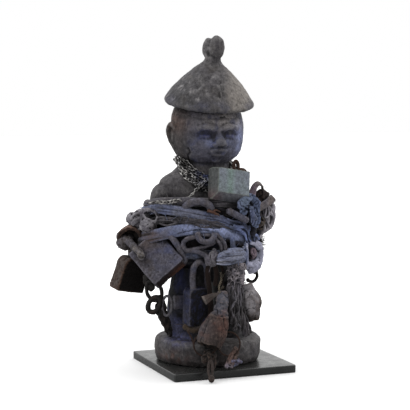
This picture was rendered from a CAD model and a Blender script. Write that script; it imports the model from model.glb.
import itertools
import math

import bpy
import numpy as np
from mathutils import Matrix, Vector


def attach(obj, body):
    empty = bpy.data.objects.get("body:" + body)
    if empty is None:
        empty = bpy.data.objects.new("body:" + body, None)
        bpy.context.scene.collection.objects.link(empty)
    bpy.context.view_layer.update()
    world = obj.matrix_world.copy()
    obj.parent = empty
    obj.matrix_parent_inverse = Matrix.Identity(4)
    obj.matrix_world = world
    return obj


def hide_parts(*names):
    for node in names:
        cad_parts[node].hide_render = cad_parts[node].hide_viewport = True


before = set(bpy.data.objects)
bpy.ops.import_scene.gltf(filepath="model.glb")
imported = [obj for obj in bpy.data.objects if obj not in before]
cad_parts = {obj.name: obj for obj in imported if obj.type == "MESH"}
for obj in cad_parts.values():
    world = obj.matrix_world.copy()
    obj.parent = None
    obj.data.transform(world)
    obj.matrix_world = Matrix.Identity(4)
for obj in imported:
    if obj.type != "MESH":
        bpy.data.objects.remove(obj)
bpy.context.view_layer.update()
SCENE = bpy.context.scene

# Sizes in millimetres, angles in degrees. The side it is tied on looks this far round from the front
TIED_DEGREES = -21.7
TIED_SIDE = math.radians(TIED_DEGREES)
SQUARE = (0, 0, -TIED_DEGREES)
MOST_TRIANGLES = 190000
CAMERA = {"distance": 1426, "height": 293, "pitch": 4.59, "pan": -0.33, "lens": 114.15, "sensor": 36}
FIGURE = (-5, 2)
HEAD = {"x": -1.5, "y": -2, "centre": 256, "half": (40, 39, 31), "crown": 35, "lean": 0.22}
HAT = {"radius": 49.5, "height": 45, "neck": 8.8, "centre": (0.6, -3, 292.6), "forward": 12.5}
BODY_WRAP = {"x": -12, "y": 2, "half": (58.5, 44.5), "bottom": 117, "top": 187}
PLATE = {"side": 140, "thickness": 8.4}
# The ear's rim: share of the head's half width, back and up from its middle
EAR = ((0.93, -6, 5), (0.99, -2, 10.5), (1.02, 4.5, 11), (1.045, 9, 5), (1.02, 8, -3.5), (0.97, 2, -11),
       (0.93, -3, -13.5))
# Sections of the trunk: middle across, back and up, half width and half depth
TRUNK = [
    (0, 0, 96, 30, 24), (0, 0, 114, 34, 26), (-3, 0, 170, 36, 27), (-6, 1, 194, 48, 27),
    (-6, 2, 204, 49, 26), (-6, 2, 210.5, 43.5, 25), (-5, 1, 216, 35, 24), (-4, 1, 221, 30, 23),
    (-2.5, 0, 230, 26, 22), (-2, 0, 242, 26, 23)]


# Places, as in the CAD: across to the right, out towards the side it is tied on, and up
def at(across, out, up):
    c, s = math.cos(TIED_SIDE), math.sin(TIED_SIDE)
    return np.array((across * c + out * s, across * s - out * c, up), float)


def path(places):
    """A line of places of the tied side."""
    return [at(*place) for place in places]


def towards(across, out, up):
    way = at(across, out, up)
    return way / np.linalg.norm(way)


OUT = towards(0, 1, 0)


def carved(x, y, z):
    return np.array((FIGURE[0] + x, FIGURE[1] + y, z), float)


def unit(rows):
    return rows / np.maximum(np.linalg.norm(rows, axis=-1, keepdims=True), 1e-9)


# Steady noise from -1 to 1, the same on each run
def lattice(cell, seed):
    n = cell[..., 0] * 73856093 ^ cell[..., 1] * 19349663 ^ cell[..., 2] * 83492791 ^ seed * 26544357
    n = (n ^ (n >> 13)) * 1274126177
    return ((n ^ (n >> 16)) & 0xFFFF) / 0xFFFF


def noise(points, size, seed):
    p = np.asarray(points, float) / size + 17.3 * (seed + 1)
    base = np.floor(p).astype(np.int64)
    f = p - base
    f = f * f * (3 - 2 * f)
    total = np.zeros(p.shape[:-1])
    for corner in itertools.product((0, 1), repeat=3):
        share = np.prod(np.where(np.array(corner, bool), f, 1 - f), axis=-1)
        total += share * lattice(base + np.array(corner), seed)
    return 2 * total - 1


def rough_noise(points, size, seed):
    """Noise of a size with finer noise on it."""
    return sum(noise(points, size / 2**k, seed + k) / 2**k for k in range(3)) / 1.6


def ridges(points, size, seed):
    """Sharp creases between rounded folds, 0 in a crease and 1 on a fold."""
    return np.abs(noise(points, size, seed)) ** 0.7


def along(s, size, seed):
    """Noise along a length."""
    s = np.asarray(s, float)
    return noise(np.stack([s, np.zeros_like(s), np.zeros_like(s)], -1), size, seed)


# Curves
def smooth_line(points, closed=False, fine=14):
    """The centripetal curve that the CAD routes follow."""
    p = np.asarray(points, float)
    p = np.vstack([p[-1:], p, p[:2]]) if closed else np.vstack([2 * p[0] - p[1], p, 2 * p[-1] - p[-2]])
    t = np.linspace(0, 1, fine, endpoint=False)[:, None]
    made = []
    for a, b, c, d in zip(p, p[1:], p[2:], p[3:]):
        k0, k1, k2 = (max(1e-3, np.linalg.norm(v) ** 0.5) for v in (b - a, c - b, d - c))
        m1 = ((b - a) / k0 - (c - a) / (k0 + k1) + (c - b) / k1) * k1
        m2 = ((c - b) / k1 - (d - b) / (k1 + k2) + (d - c) / k2) * k1
        made.append((2 * t**3 - 3 * t**2 + 1) * b + (t**3 - 2 * t**2 + t) * m1
                    + (3 * t**2 - 2 * t**3) * c + (t**3 - t**2) * m2)
    if not closed:
        made.append(p[-2:-1])
    return np.vstack(made)


def even(line, step, closed=False):
    """The same line in even steps, and how far along each point is."""
    if closed:
        line = np.vstack([line, line[:1]])
    run = np.concatenate([[0], np.cumsum(np.linalg.norm(np.diff(line, axis=0), axis=1))])
    count = max(6, int(round(run[-1] / step)))
    marks = np.linspace(0, run[-1], count + 1)
    if closed:
        marks = marks[:-1]
    return np.stack([np.interp(marks, run, line[:, k]) for k in range(3)], 1), marks, run[-1]


def frames_along(line, facing, closed):
    way = unit(np.roll(line, -1, 0) - np.roll(line, 1, 0)) if closed else unit(np.gradient(line, axis=0))
    if facing is None:
        normal = np.zeros_like(line)
        start = np.eye(3)[np.argmin(np.abs(way[0]))]
        for i, tangent in enumerate(way):
            start = start - start @ tangent * tangent
            start = start / np.linalg.norm(start)
            normal[i] = start
    else:
        normal = facing(line) if callable(facing) else np.tile(np.asarray(facing, float), (len(line), 1))
        normal = unit(normal - (normal * way).sum(1, keepdims=True) * way)
    return way, normal, np.cross(way, normal)


# Forms: vertices in millimetres and faces
def together(*forms):
    places, faces, start = [], [], 0
    for v, f in forms:
        places.append(v)
        faces.extend([tuple(i + start for i in face) for face in f])
        start += len(v)
    return np.vstack(places), faces


def ring_faces(rings, sides, closed):
    faces = []
    for r in range(rings if closed else rings - 1):
        a, b = r * sides, (r + 1) % rings * sides
        faces.extend((a + k, a + (k + 1) % sides, b + (k + 1) % sides, b + k) for k in range(sides))
    if not closed:
        faces.append(tuple(range(sides))[::-1])
        faces.append(tuple((rings - 1) * sides + k for k in range(sides)))
    return faces


def bar_skin(s, a, radius):
    """Where the skin of a straight round bar lies, to read noise there."""
    return np.stack([np.cos(a) * radius, np.sin(a) * radius, s], -1)


def sweep(line, width, depth=None, sides=14, step=1.0, facing=None, closed=False, shape=None, blunt=0.8,
          curved=True):
    """A bar along a line. shape(s, angle, total) scales its section at s millimetres along."""
    depth = width if depth is None else depth
    line, run, total = even(smooth_line(line, closed) if curved else np.asarray(line, float), step, closed)
    _, normal, side = frames_along(line, facing, closed)
    angle = np.arange(sides) * 2 * math.pi / sides
    s, a = np.meshgrid(run, angle, indexing="ij")
    scale = np.ones_like(s) if shape is None else shape(s, a, total) * np.ones_like(s)
    if not closed:
        reach = max(1e-3, blunt * min(width, depth) / 2)
        inward = np.clip(np.minimum(s, total - s) / reach, 0.0, 1)
        scale = scale * np.sqrt(np.clip(1 - (1 - inward) ** 2, 0.04, 1))
    v = line[:, None] + normal[:, None] * (np.cos(a) * scale * depth / 2)[..., None]
    v = v + side[:, None] * (np.sin(a) * scale * width / 2)[..., None]
    return v.reshape(-1, 3), ring_faces(len(line), sides, closed)


def ring(centre, long, short, length, width, wire, sides=10, step=1.0, shape=None):
    """An oval link, or a ring."""
    turn = np.arange(24) / 24 * 2 * math.pi
    line = (centre + np.cos(turn)[:, None] * long * (length - wire) / 2
            + np.sin(turn)[:, None] * short * (width - wire) / 2)
    return sweep(line, wire, wire, sides=sides, step=step, facing=np.cross(long, short), closed=True,
                 shape=shape)


def sphere(rows, sides):
    """Unit directions over a ball, and the faces between them."""
    polar = np.linspace(0, math.pi, rows + 1)[1:-1]
    t, r = np.meshgrid(polar, np.arange(sides) * 2 * math.pi / sides, indexing="ij")
    way = np.stack([np.sin(t) * np.cos(r), np.sin(t) * np.sin(r), np.cos(t)], -1).reshape(-1, 3)
    way = np.vstack([way, [[0, 0, 1], [0, 0, -1]]])
    faces = []
    for i in range(rows - 2):
        a, b = i * sides, (i + 1) * sides
        faces.extend((a + k, b + k, b + (k + 1) % sides, a + (k + 1) % sides) for k in range(sides))
    top, foot, last = len(way) - 2, len(way) - 1, (rows - 2) * sides
    faces.extend((top, k, (k + 1) % sides) for k in range(sides))
    faces.extend((foot, last + (k + 1) % sides, last + k) for k in range(sides))
    return way, faces


def ball(centre, radii, turn=(0, 0, 0), rough=0.06, seed=1):
    way, faces = sphere(rows=14, sides=20)
    v = way * (1 + rough * noise(way, 0.6, seed))[:, None] * np.array(radii, float)
    return turned(v, turn) + centre, faces


def turned(v, turn):
    """Turned about X, Y and Z by degrees, then into the tied side's frame."""
    for axis, angle in enumerate(turn):
        a = math.radians(angle) + (TIED_SIDE if axis == 2 else 0)
        c, s = math.cos(a), math.sin(a)
        i, j = (axis + 1) % 3, (axis + 2) % 3
        m = np.eye(3)
        m[i, i], m[i, j], m[j, i], m[j, j] = c, -s, s, c
        v = v @ m.T
    return v


def lathe(profile):
    """Turned about the Z axis from [radius, height] rows that begin and end on the axis."""
    sides = 96
    rows = np.array(profile, float)
    r, z = rows[1:-1, 0], rows[1:-1, 1]
    a = np.arange(sides) * 2 * math.pi / sides
    v = np.stack([r[:, None] * np.cos(a), r[:, None] * np.sin(a), z[:, None] + 0 * a], -1).reshape(-1, 3)
    v = np.vstack([v, [[0, 0, rows[0, 1]], [0, 0, rows[-1, 1]]]])
    faces = []
    for i in range(len(r) - 1):
        p, q = i * sides, (i + 1) * sides
        faces.extend((p + k, p + (k + 1) % sides, q + (k + 1) % sides, q + k) for k in range(sides))
    faces.extend((len(v) - 2, (k + 1) % sides, k) for k in range(sides))
    last = (len(r) - 1) * sides
    faces.extend((len(v) - 1, last + k, last + (k + 1) % sides) for k in range(sides))
    return v, faces


def box_basis(up, face):
    side = np.cross(up, face)
    side = side / np.linalg.norm(side)
    up = up / np.linalg.norm(up)
    return np.stack([side, up, np.cross(side, up)])


def rounded_block(centre, up, face, width, height, thickness, foot, shoulder, bevel):
    """A block with rounded corners, its foot and shoulders of their own radius."""
    rows = []
    for drop, depth in ((1, 0), (0.35, 0.12), (0.06, 0.45), (0, 1)):
        rows.append((bevel * drop, -thickness / 2 + bevel * depth))
    rows = rows + [(o, -z) for o, z in rows[::-1]]
    v = []
    for o, z in rows:
        for (sx, sy), start in (((1, -1), -90), ((1, 1), 0), ((-1, 1), 90), ((-1, -1), 180)):
            radius = max(0.3, (foot if sy < 0 else shoulder) - o)
            x = sx * (width / 2 - o - radius)
            y = sy * (height / 2 - o - radius)
            for k in range(6):
                a = math.radians(start + k * 18)
                v.append((x + radius * math.cos(a), y + radius * math.sin(a), z))
    v = np.array(v)
    return v @ box_basis(up, face) + centre, ring_faces(len(rows), 24, False)


# Blender objects
def baked(ob):
    bpy.context.view_layer.update()
    graph = bpy.context.evaluated_depsgraph_get()
    mesh = bpy.data.meshes.new_from_object(ob.evaluated_get(graph))
    ob.modifiers.clear()
    ob.data = mesh
    return ob


def piece(name, form, look, node):
    mesh = bpy.data.meshes.new(name)
    mesh.from_pydata((form[0] / 1000).tolist(), [], form[1])
    mesh.update()
    ob = bpy.data.objects.new(name, mesh)
    SCENE.collection.objects.link(ob)
    ob["look"] = look
    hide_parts(node)
    return ob


def fused(name, form, look, node, voxel, soft=2, most=MOST_TRIANGLES):
    """One skin over forms that run into each other."""
    ob = piece(name, form, look, node)
    skin = ob.modifiers.new("skin", "REMESH")
    skin.mode, skin.voxel_size = "VOXEL", voxel / 1000
    if soft:
        smooth = ob.modifiers.new("smooth", "SMOOTH")
        smooth.factor, smooth.iterations = 0.5, soft
    baked(ob)
    faces = 2 * len(ob.data.polygons)
    if faces > most:
        fewer = ob.modifiers.new("fewer", "DECIMATE")
        fewer.ratio = most / faces
        baked(ob)
    return ob


def node_form(node):
    """A copy of a CAD node's own shape."""
    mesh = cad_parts[node].data
    v = np.empty(len(mesh.vertices) * 3)
    mesh.vertices.foreach_get("co", v)
    return v.reshape(-1, 3) * 1000, [tuple(p.vertices) for p in mesh.polygons]


def read(ob):
    mesh = ob.data
    v, n = np.empty(len(mesh.vertices) * 3), np.empty(len(mesh.vertices) * 3)
    mesh.vertices.foreach_get("co", v)
    mesh.vertex_normals.foreach_get("vector", n)
    return v.reshape(-1, 3) * 1000, n.reshape(-1, 3)


def ruffle(ob, amount):
    """Moves the skin in or out by amount(places, normals), in millimetres."""
    v, n = read(ob)
    v = v + n * np.reshape(amount(v, n), (-1, 1))
    ob.data.vertices.foreach_set("co", (v / 1000).ravel())
    ob.data.update()
    return ob


def shift(ob, move):
    v, n = read(ob)
    ob.data.vertices.foreach_set("co", ((v + move(v, n)) / 1000).ravel())
    ob.data.update()
    return ob


# How often the skin is averaged before it is compared with itself
HOLLOW_PASSES = 4


def hollows(ob):
    """How deep each place of the skin lies in a hollow, above 0, or on an edge, below 0, in millimetres."""
    mesh = ob.data
    v, n = read(ob)
    pairs = np.empty(len(mesh.edges) * 2, np.int64)
    mesh.edges.foreach_get("vertices", pairs)
    pairs = pairs.reshape(-1, 2)
    both = np.concatenate([pairs, pairs[:, ::-1]])
    count = np.maximum(np.bincount(both[:, 0], minlength=len(v)), 1)[:, None]
    soft = v
    for _ in range(HOLLOW_PASSES):
        sums = np.stack([np.bincount(both[:, 0], soft[both[:, 1], k], minlength=len(v)) for k in range(3)], 1)
        soft = sums / count
    return ((soft - v) * n).sum(1)


def near(points, centre, radius):
    """1 at a place and 0 a radius away from it, with a soft border."""
    radius = np.asarray(radius, float)
    return np.exp(-((((points - centre) / radius) ** 2).sum(-1)))


def near_line(points, line, radius):
    """1 on a line of places and 0 further away."""
    best = np.full(len(points), 1e9)
    for a, b in zip(line, line[1:]):
        way = b - a
        t = np.clip(((points - a) @ way) / max(way @ way, 1e-9), 0, 1)
        best = np.minimum(best, np.linalg.norm(points - a - t[:, None] * way, axis=1))
    return np.exp(-((best / radius) ** 2))


def step_up(x, low, high):
    t = np.clip((x - low) / (high - low), 0, 1)
    return t * t * (3 - 2 * t)


def patches(colour, share, size, seed, low, high):
    """A spot in patches of one size."""
    return colour, lambda v, n: share * step_up(noise(v, size, seed), low, high)


def stains(colour, share, size, seed, low, high):
    """A spot in ragged patches."""
    return colour, lambda v, n: share * step_up(rough_noise(v, size, seed), low, high)


def dab(colour, share, place, radii, *broken):
    """A dab of colour round one place, whole or broken up by noise of a size and seed, from low to high."""
    if not broken:
        return colour, lambda v, n: share * near(v, place, radii)
    size, seed, low, high = broken
    return colour, lambda v, n: share * near(v, place, radii) * step_up(noise(v, size, seed), low, high)


def linear(colour):
    c = np.array([int(colour[i : i + 2], 16) for i in (0, 2, 4)]) / 255
    return np.where(c <= 0.04045, c / 12.92, ((c + 0.055) / 1.055) ** 2.4)


# How dirt gathers where surfaces crowd together: from and to which crowding and how dark, the size of a
# cell in millimetres, how many cells away still count, how far above the skin it is read, and the border
SOOT = {"range": (0.27, 0.5), "depth": 0.74, "cell": 2.0, "reach": 2, "off": 4.5, "margin": 24}

# Colours of each finish: ground, patches, crevices, and worn or dusty edges
LOOKS = {
    "plate": ("0e0f0f", "151616", "080909", "2e302f"),
    "wood": ("464346", "555253", "131113", "6f6c6b"),
    "blue_cloth": ("5c6484", "474a56", "0e0e16", "8791b4"),
    "grey_cloth": ("68646d", "4d4a51", "121014", "928e92"),
    "dark_cloth": ("1b1a22", "16151a", "050507", "34323d"),
    "brown_cloth": ("3a2f2b", "2b2421", "0e0a0a", "66574d"),
    "iron": ("474550", "3b3536", "0e0c0e", "7c7a85"),
    "rust": ("3b2b25", "291f1c", "0c0808", "6a5245"),
    "black_iron": ("0f0c0c", "1b1310", "030202", "31261f"),
    "brass": ("59605c", "474a4a", "151617", "8e958a"),
    "leather": ("403532", "302827", "0d0a0a", "73655c")}
# Each finish: scale of its grain, relief in millimetres, roughness, weave, sheen, metal and shine
FINISHES = {
    "plate": (90, 0.015, 0.24, 0, 0, 0, 0.65),
    "wood": (260, 0.5, 0.72, 0, 0, 0, 0.4),
    "blue_cloth": (420, 0.45, 0.95, 420, 0.15, 0, 0.15),
    "grey_cloth": (420, 0.5, 0.95, 380, 0.12, 0, 0.15),
    "dark_cloth": (380, 0.5, 1.0, 380, 0.1, 0, 0.1),
    "brown_cloth": (400, 0.5, 0.95, 360, 0.1, 0, 0.15),
    "iron": (330, 0.35, 0.62, 0, 0, 0.25, 0.4),
    "rust": (420, 0.5, 0.85, 0, 0, 0.1, 0.3),
    "black_iron": (420, 0.45, 0.6, 0, 0, 0.2, 0.4),
    "brass": (300, 0.3, 0.6, 0, 0, 0.2, 0.4),
    "chain": (420, 0.25, 0.36, 0, 0, 0.85, 0.6),
    "leather": (340, 0.5, 0.78, 0, 0, 0, 0.35)}
# How far each layer of a tint covers the ones below it, and how much the whole is speckled
COVER = {"patches": 0.9, "dust": 0.35, "edges": 0.7, "crevices": 0.95, "speckle": 0.13}
DUST_SIZE = 2.2


def tinted(ob, *spots, patch=11.0, seed=0, hollow=1.0, edge=0.6, finish=None, shade=None):
    """Colours each place of a piece. A spot is (colour, strength for each place), and shade darkens."""
    look = ob["look"]
    ground, patched, deep, worn = (linear(c) for c in LOOKS[look])
    v, n = read(ob)
    colour = np.tile(ground, (len(v), 1))

    def lay(over, share):
        nonlocal colour
        share = np.clip(np.reshape(share, (-1, 1)), 0, 1)
        colour = colour * (1 - share) + over * share

    lay(patched, COVER["patches"] * step_up(rough_noise(v, patch, seed + 3), -0.15, 0.45))
    lay(worn, COVER["dust"] * step_up(rough_noise(v, DUST_SIZE, seed + 5), 0.1, 0.8))
    for over, share in spots:
        over = linear(over) if isinstance(over, str) else over
        lay(over, share(v, n) if callable(share) else share)
    bend = hollows(ob)
    reach = np.percentile(np.abs(bend), 90) + 1e-6
    lay(worn, edge * COVER["edges"] * step_up(-bend / reach, 0.25, 1.3))
    lay(deep, hollow * COVER["crevices"] * step_up(bend / reach, 0.05, 1.0))
    colour *= (1 + COVER["speckle"] * noise(v, 0.9, seed + 8))[:, None]
    if shade is not None:
        colour *= np.reshape(shade(v, n), (-1, 1))
    mark = ob.data.color_attributes.new("tint", "FLOAT_COLOR", "POINT")
    mark.data.foreach_set("color", np.hstack([np.clip(colour, 0, 1), np.ones((len(v), 1))]).ravel())
    ob.data.polygons.foreach_set("use_smooth", np.ones(len(ob.data.polygons), bool))
    ob.data.materials.clear()
    ob.data.materials.append(MATERIALS[finish or look])
    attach(ob, "root")
    return ob


def dressed(name, forms, look, node, *spots, **values):
    """A tinted piece of forms that only touch."""
    return tinted(piece(name, together(*forms), look, node), *spots, **values)


def soot():
    """Darkens each place by how closely other surfaces crowd round it, as dirt gathers there."""
    cell, reach, off, margin = (SOOT[key] for key in ("cell", "reach", "off", "margin"))
    pieces = [ob for ob in SCENE.objects if ob.type == "MESH" and "tint" in ob.data.color_attributes]
    skins = [read(ob) for ob in pieces]
    low = np.min([v.min(0) for v, _ in skins], 0) - margin
    size = np.ceil((np.max([v.max(0) for v, _ in skins], 0) + margin - low) / cell).astype(int)
    crowd = np.zeros(size)
    for v, _ in skins:
        crowd[tuple(((v - low) / cell).astype(int).T)] = 1
    for axis in (0, 1, 2) * 2:
        crowd = sum(np.roll(crowd, k, axis) for k in range(-reach, reach + 1)) / (2 * reach + 1)
    for ob, (v, n) in zip(pieces, skins):
        spot = ((v + n * off - low) / cell).astype(int)
        share = step_up(crowd[tuple(spot.T)], *SOOT["range"])
        mark = ob.data.color_attributes["tint"].data
        colour = np.empty(len(v) * 4)
        mark.foreach_get("color", colour)
        colour = colour.reshape(-1, 4)
        colour[:, :3] *= (1 - SOOT["depth"] * share)[:, None]
        mark.foreach_set("color", colour.ravel())


# Materials: the tint, broken up by grain of the real scale, with roughness and relief to match
def maths(nodes, links, kind, first, second):
    made = nodes.new("ShaderNodeMath")
    made.operation = kind
    for k, value in enumerate((first, second)):
        if isinstance(value, (int, float)):
            made.inputs[k].default_value = value
        else:
            links.new(value, made.inputs[k])
    return made.outputs[0]


def ranged(nodes, links, value, low, high, to_low, to_high, soft=False):
    """Maps one range of a value onto another."""
    made = nodes.new("ShaderNodeMapRange")
    for key, number in (("From Min", low), ("From Max", high), ("To Min", to_low), ("To Max", to_high)):
        made.inputs[key].default_value = number
    if soft:
        made.interpolation_type = "SMOOTHSTEP"
    links.new(value, made.inputs["Value"])
    return made.outputs["Result"]


def material(name, grain, relief, rough, cloth, sheen, metal, shine):
    made = bpy.data.materials.new(name)
    made.use_nodes = True
    nodes, links = made.node_tree.nodes, made.node_tree.links
    shader = nodes["Principled BSDF"]
    shader.inputs["Metallic"].default_value = metal
    shader.inputs["Specular IOR Level"].default_value = shine
    shader.inputs["Sheen Weight"].default_value = sheen
    shader.inputs["Sheen Roughness"].default_value = 0.6
    places = nodes.new("ShaderNodeTexCoord").outputs["Object"]

    def texture(kind, scale, **values):
        made = nodes.new(kind)
        made.inputs["Scale"].default_value = scale
        for key, value in values.items():
            made.inputs[key].default_value = value
        links.new(places, made.inputs["Vector"])
        return made

    def combined(*values):
        return maths(nodes, links, *values)

    def mapped(*values):
        return ranged(nodes, links, *values)

    coarse = texture("ShaderNodeTexNoise", grain, Detail=5.0, Roughness=0.65).outputs["Fac"]
    fine = texture("ShaderNodeTexNoise", grain * 4.5, Detail=3.0, Roughness=0.6).outputs["Fac"]
    pits = texture("ShaderNodeTexVoronoi", grain * 2.2).outputs["Distance"]
    tone = combined("MULTIPLY", mapped(coarse, 0.3, 0.7, 0.6, 1.36), mapped(fine, 0.3, 0.7, 0.7, 1.3))
    height = combined("ADD", combined("MULTIPLY", coarse, 1.0), combined("MULTIPLY", fine, 0.45))
    height = combined("ADD", height, combined("MULTIPLY", mapped(pits, 0.0, 0.45, 0.0, 1.0), 0.35))
    if cloth:
        warp = texture("ShaderNodeTexWave", cloth, Distortion=1.6)
        warp.bands_direction = "Z"
        warp.inputs["Detail Scale"].default_value = 1.5
        weft = texture("ShaderNodeTexWave", cloth, Distortion=1.6)
        weft.bands_direction = "X"
        weave = combined("MULTIPLY", warp.outputs["Fac"], weft.outputs["Fac"])
        tone = combined("MULTIPLY", tone, mapped(weave, 0.0, 1.0, 0.86, 1.14))
        height = combined("ADD", height, combined("MULTIPLY", weave, 0.6))
    tint = nodes.new("ShaderNodeAttribute")
    tint.attribute_name = "tint"
    scaled = nodes.new("ShaderNodeVectorMath")
    scaled.operation = "SCALE"
    links.new(tint.outputs["Color"], scaled.inputs[0])
    links.new(tone, scaled.inputs["Scale"])
    links.new(scaled.outputs[0], shader.inputs["Base Color"])
    links.new(mapped(coarse, 0.3, 0.7, min(1, rough + 0.14), max(0.2, rough - 0.14)),
              shader.inputs["Roughness"])
    bump = nodes.new("ShaderNodeBump")
    bump.inputs["Strength"].default_value = 0.75
    bump.inputs["Distance"].default_value = relief / 1000
    links.new(height, bump.inputs["Height"])
    links.new(bump.outputs["Normal"], shader.inputs["Normal"])
    return made


MATERIALS = {name: material(name, *values) for name, values in FINISHES.items()}


# Camera, light and floor
# How bright the white surroundings are towards the front and the top, against 1 elsewhere
SURROUND = {"front": 0.44, "top": 1.55}
# Each lamp: place in millimetres, size in metres and power
LAMPS = (("key", (-1100, 500, 1600), 0.9, 6), ("rim", (1500, -300, 1300), 0.8, 6))
# The floor's glow: from and to which distance, in metres, and from and to which strength
FLOOR_GLOW = (0.08, 0.5, 0.1, 0.45)
# What share of its light the floor throws back on the figure, and half its width in metres
FLOOR_BOUNCE = 0.4
FLOOR_HALF = 9
LAMP_AIM = Vector((0, 0, 0.18))


def camera():
    data = bpy.data.cameras.new("camera")
    data.lens, data.sensor_width = CAMERA["lens"], CAMERA["sensor"]
    ob = bpy.data.objects.new("camera", data)
    SCENE.collection.objects.link(ob)
    x, y = CAMERA["distance"] * math.sin(TIED_SIDE), -CAMERA["distance"] * math.cos(TIED_SIDE)
    heading = math.atan2(-x, -y) + math.radians(CAMERA["pan"])
    pitch = math.radians(CAMERA["pitch"])
    look = Vector((math.sin(heading) * math.cos(pitch), math.cos(heading) * math.cos(pitch),
                   -math.sin(pitch)))
    ob.location = (x / 1000, y / 1000, CAMERA["height"] / 1000)
    ob.rotation_euler = look.to_track_quat("-Z", "Y").to_euler()
    SCENE.camera = ob


def lamp(name, place, size, power):
    data = bpy.data.lights.new(name, "AREA")
    data.size, data.energy = size, power
    ob = bpy.data.objects.new(name, data)
    SCENE.collection.objects.link(ob)
    ob.location = Vector(at(*place)) / 1000
    ob.rotation_euler = (LAMP_AIM - ob.location).to_track_quat("-Z", "Y").to_euler()


def studio():
    """White surroundings that light it from above, behind and the sides, and less from the front."""
    SCENE.view_settings.view_transform = "Standard"
    world = bpy.data.worlds.new("studio")
    SCENE.world = world
    world.use_nodes = True
    nodes, links = world.node_tree.nodes, world.node_tree.links
    ground = nodes["Background"]
    ground.inputs["Color"].default_value = (1, 1, 1, 1)
    way = nodes.new("ShaderNodeTexCoord").outputs["Generated"]

    def facing(aim, low, high, at_low, at_high):
        dot = nodes.new("ShaderNodeVectorMath")
        dot.operation = "DOT_PRODUCT"
        links.new(way, dot.inputs[0])
        dot.inputs[1].default_value = aim
        return ranged(nodes, links, dot.outputs["Value"], low, high, at_low, at_high)

    soft = maths(nodes, links, "MULTIPLY", facing(towards(0.25, 1, 0), -0.2, 0.85, 1.0, SURROUND["front"]),
                 facing((0, 0, 1), 0.1, 0.9, 1.0, SURROUND["top"]))
    seen = nodes.new("ShaderNodeLightPath").outputs["Is Camera Ray"]
    links.new(maths(nodes, links, "MAXIMUM", seen, soft), ground.inputs["Strength"])
    for name, place, size, power in LAMPS:
        lamp(name, place, size, power)


def white_floor():
    """A floor that glows less close to the figure, where its shadow falls."""
    mesh = bpy.data.meshes.new("floor")
    corners = [(x * FLOOR_HALF, y * FLOOR_HALF, 0) for x, y in ((-1, -1), (1, -1), (1, 1), (-1, 1))]
    mesh.from_pydata(corners, [], [(0, 1, 2, 3)])
    floor = bpy.data.objects.new("floor", mesh)
    SCENE.collection.objects.link(floor)
    paint = bpy.data.materials.new("floor")
    paint.use_nodes = True
    nodes, links = paint.node_tree.nodes, paint.node_tree.links
    shader = nodes["Principled BSDF"]
    shader.inputs["Roughness"].default_value = 0.9
    shader.inputs["Specular IOR Level"].default_value = 0.1
    shader.inputs["Emission Color"].default_value = (1, 1, 1, 1)
    away = nodes.new("ShaderNodeVectorMath")
    away.operation = "LENGTH"
    links.new(nodes.new("ShaderNodeTexCoord").outputs["Object"], away.inputs[0])
    glow = ranged(nodes, links, away.outputs["Value"], *FLOOR_GLOW, soft=True)
    # What the floor throws back on the figure is less than what is seen of it
    seen = nodes.new("ShaderNodeLightPath").outputs["Is Camera Ray"]
    share = ranged(nodes, links, seen, 0, 1, FLOOR_BOUNCE, 1)
    links.new(maths(nodes, links, "MULTIPLY", glow, share), shader.inputs["Emission Strength"])
    tone = nodes.new("ShaderNodeVectorMath")
    tone.operation = "SCALE"
    tone.inputs[0].default_value = (0.9, 0.9, 0.9)
    links.new(share, tone.inputs["Scale"])
    links.new(tone.outputs[0], shader.inputs["Base Color"])
    mesh.materials.append(paint)


camera()
studio()
white_floor()


# Stand plate
def stand_plate():
    middle, up, face = np.array([0, 0, PLATE["thickness"] / 2]), np.array([0, 1, 0.0]), np.array([0, 0, 1.0])
    form = rounded_block(middle, up, face, PLATE["side"], PLATE["side"], PLATE["thickness"], 3, 3, bevel=1.3)
    ob = piece("stand_plate_finish", form, "plate", "stand_plate")
    split = ob.modifiers.new("split", "SUBSURF")
    split.subdivision_type, split.levels = "SIMPLE", 3
    baked(ob)
    dusty = lambda v, n: (0.3 + 0.35 * step_up(rough_noise(v, 5, 4), 0.2, 0.9)) * (n[:, 2] > 0.5)
    left = lambda v, n: 0.8 * (n[:, 0] < -0.5)
    tinted(ob, ("4a4a49", dusty), ("2c2c2c", left), patch=30, hollow=0, edge=0.3)


# Carving
def limb(rows):
    sides = 40
    rows = smooth_line(np.array(rows, float), fine=8)
    a = np.arange(sides) * 2 * math.pi / sides
    x = FIGURE[0] + rows[:, :1] + rows[:, 3:4] * np.cos(a)
    y = FIGURE[1] + rows[:, 1:2] + rows[:, 4:5] * np.sin(a)
    z = rows[:, 2:3] + 0 * a
    return np.stack([x, y, z], -1).reshape(-1, 3), ring_faces(len(rows), sides, False)


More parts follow.
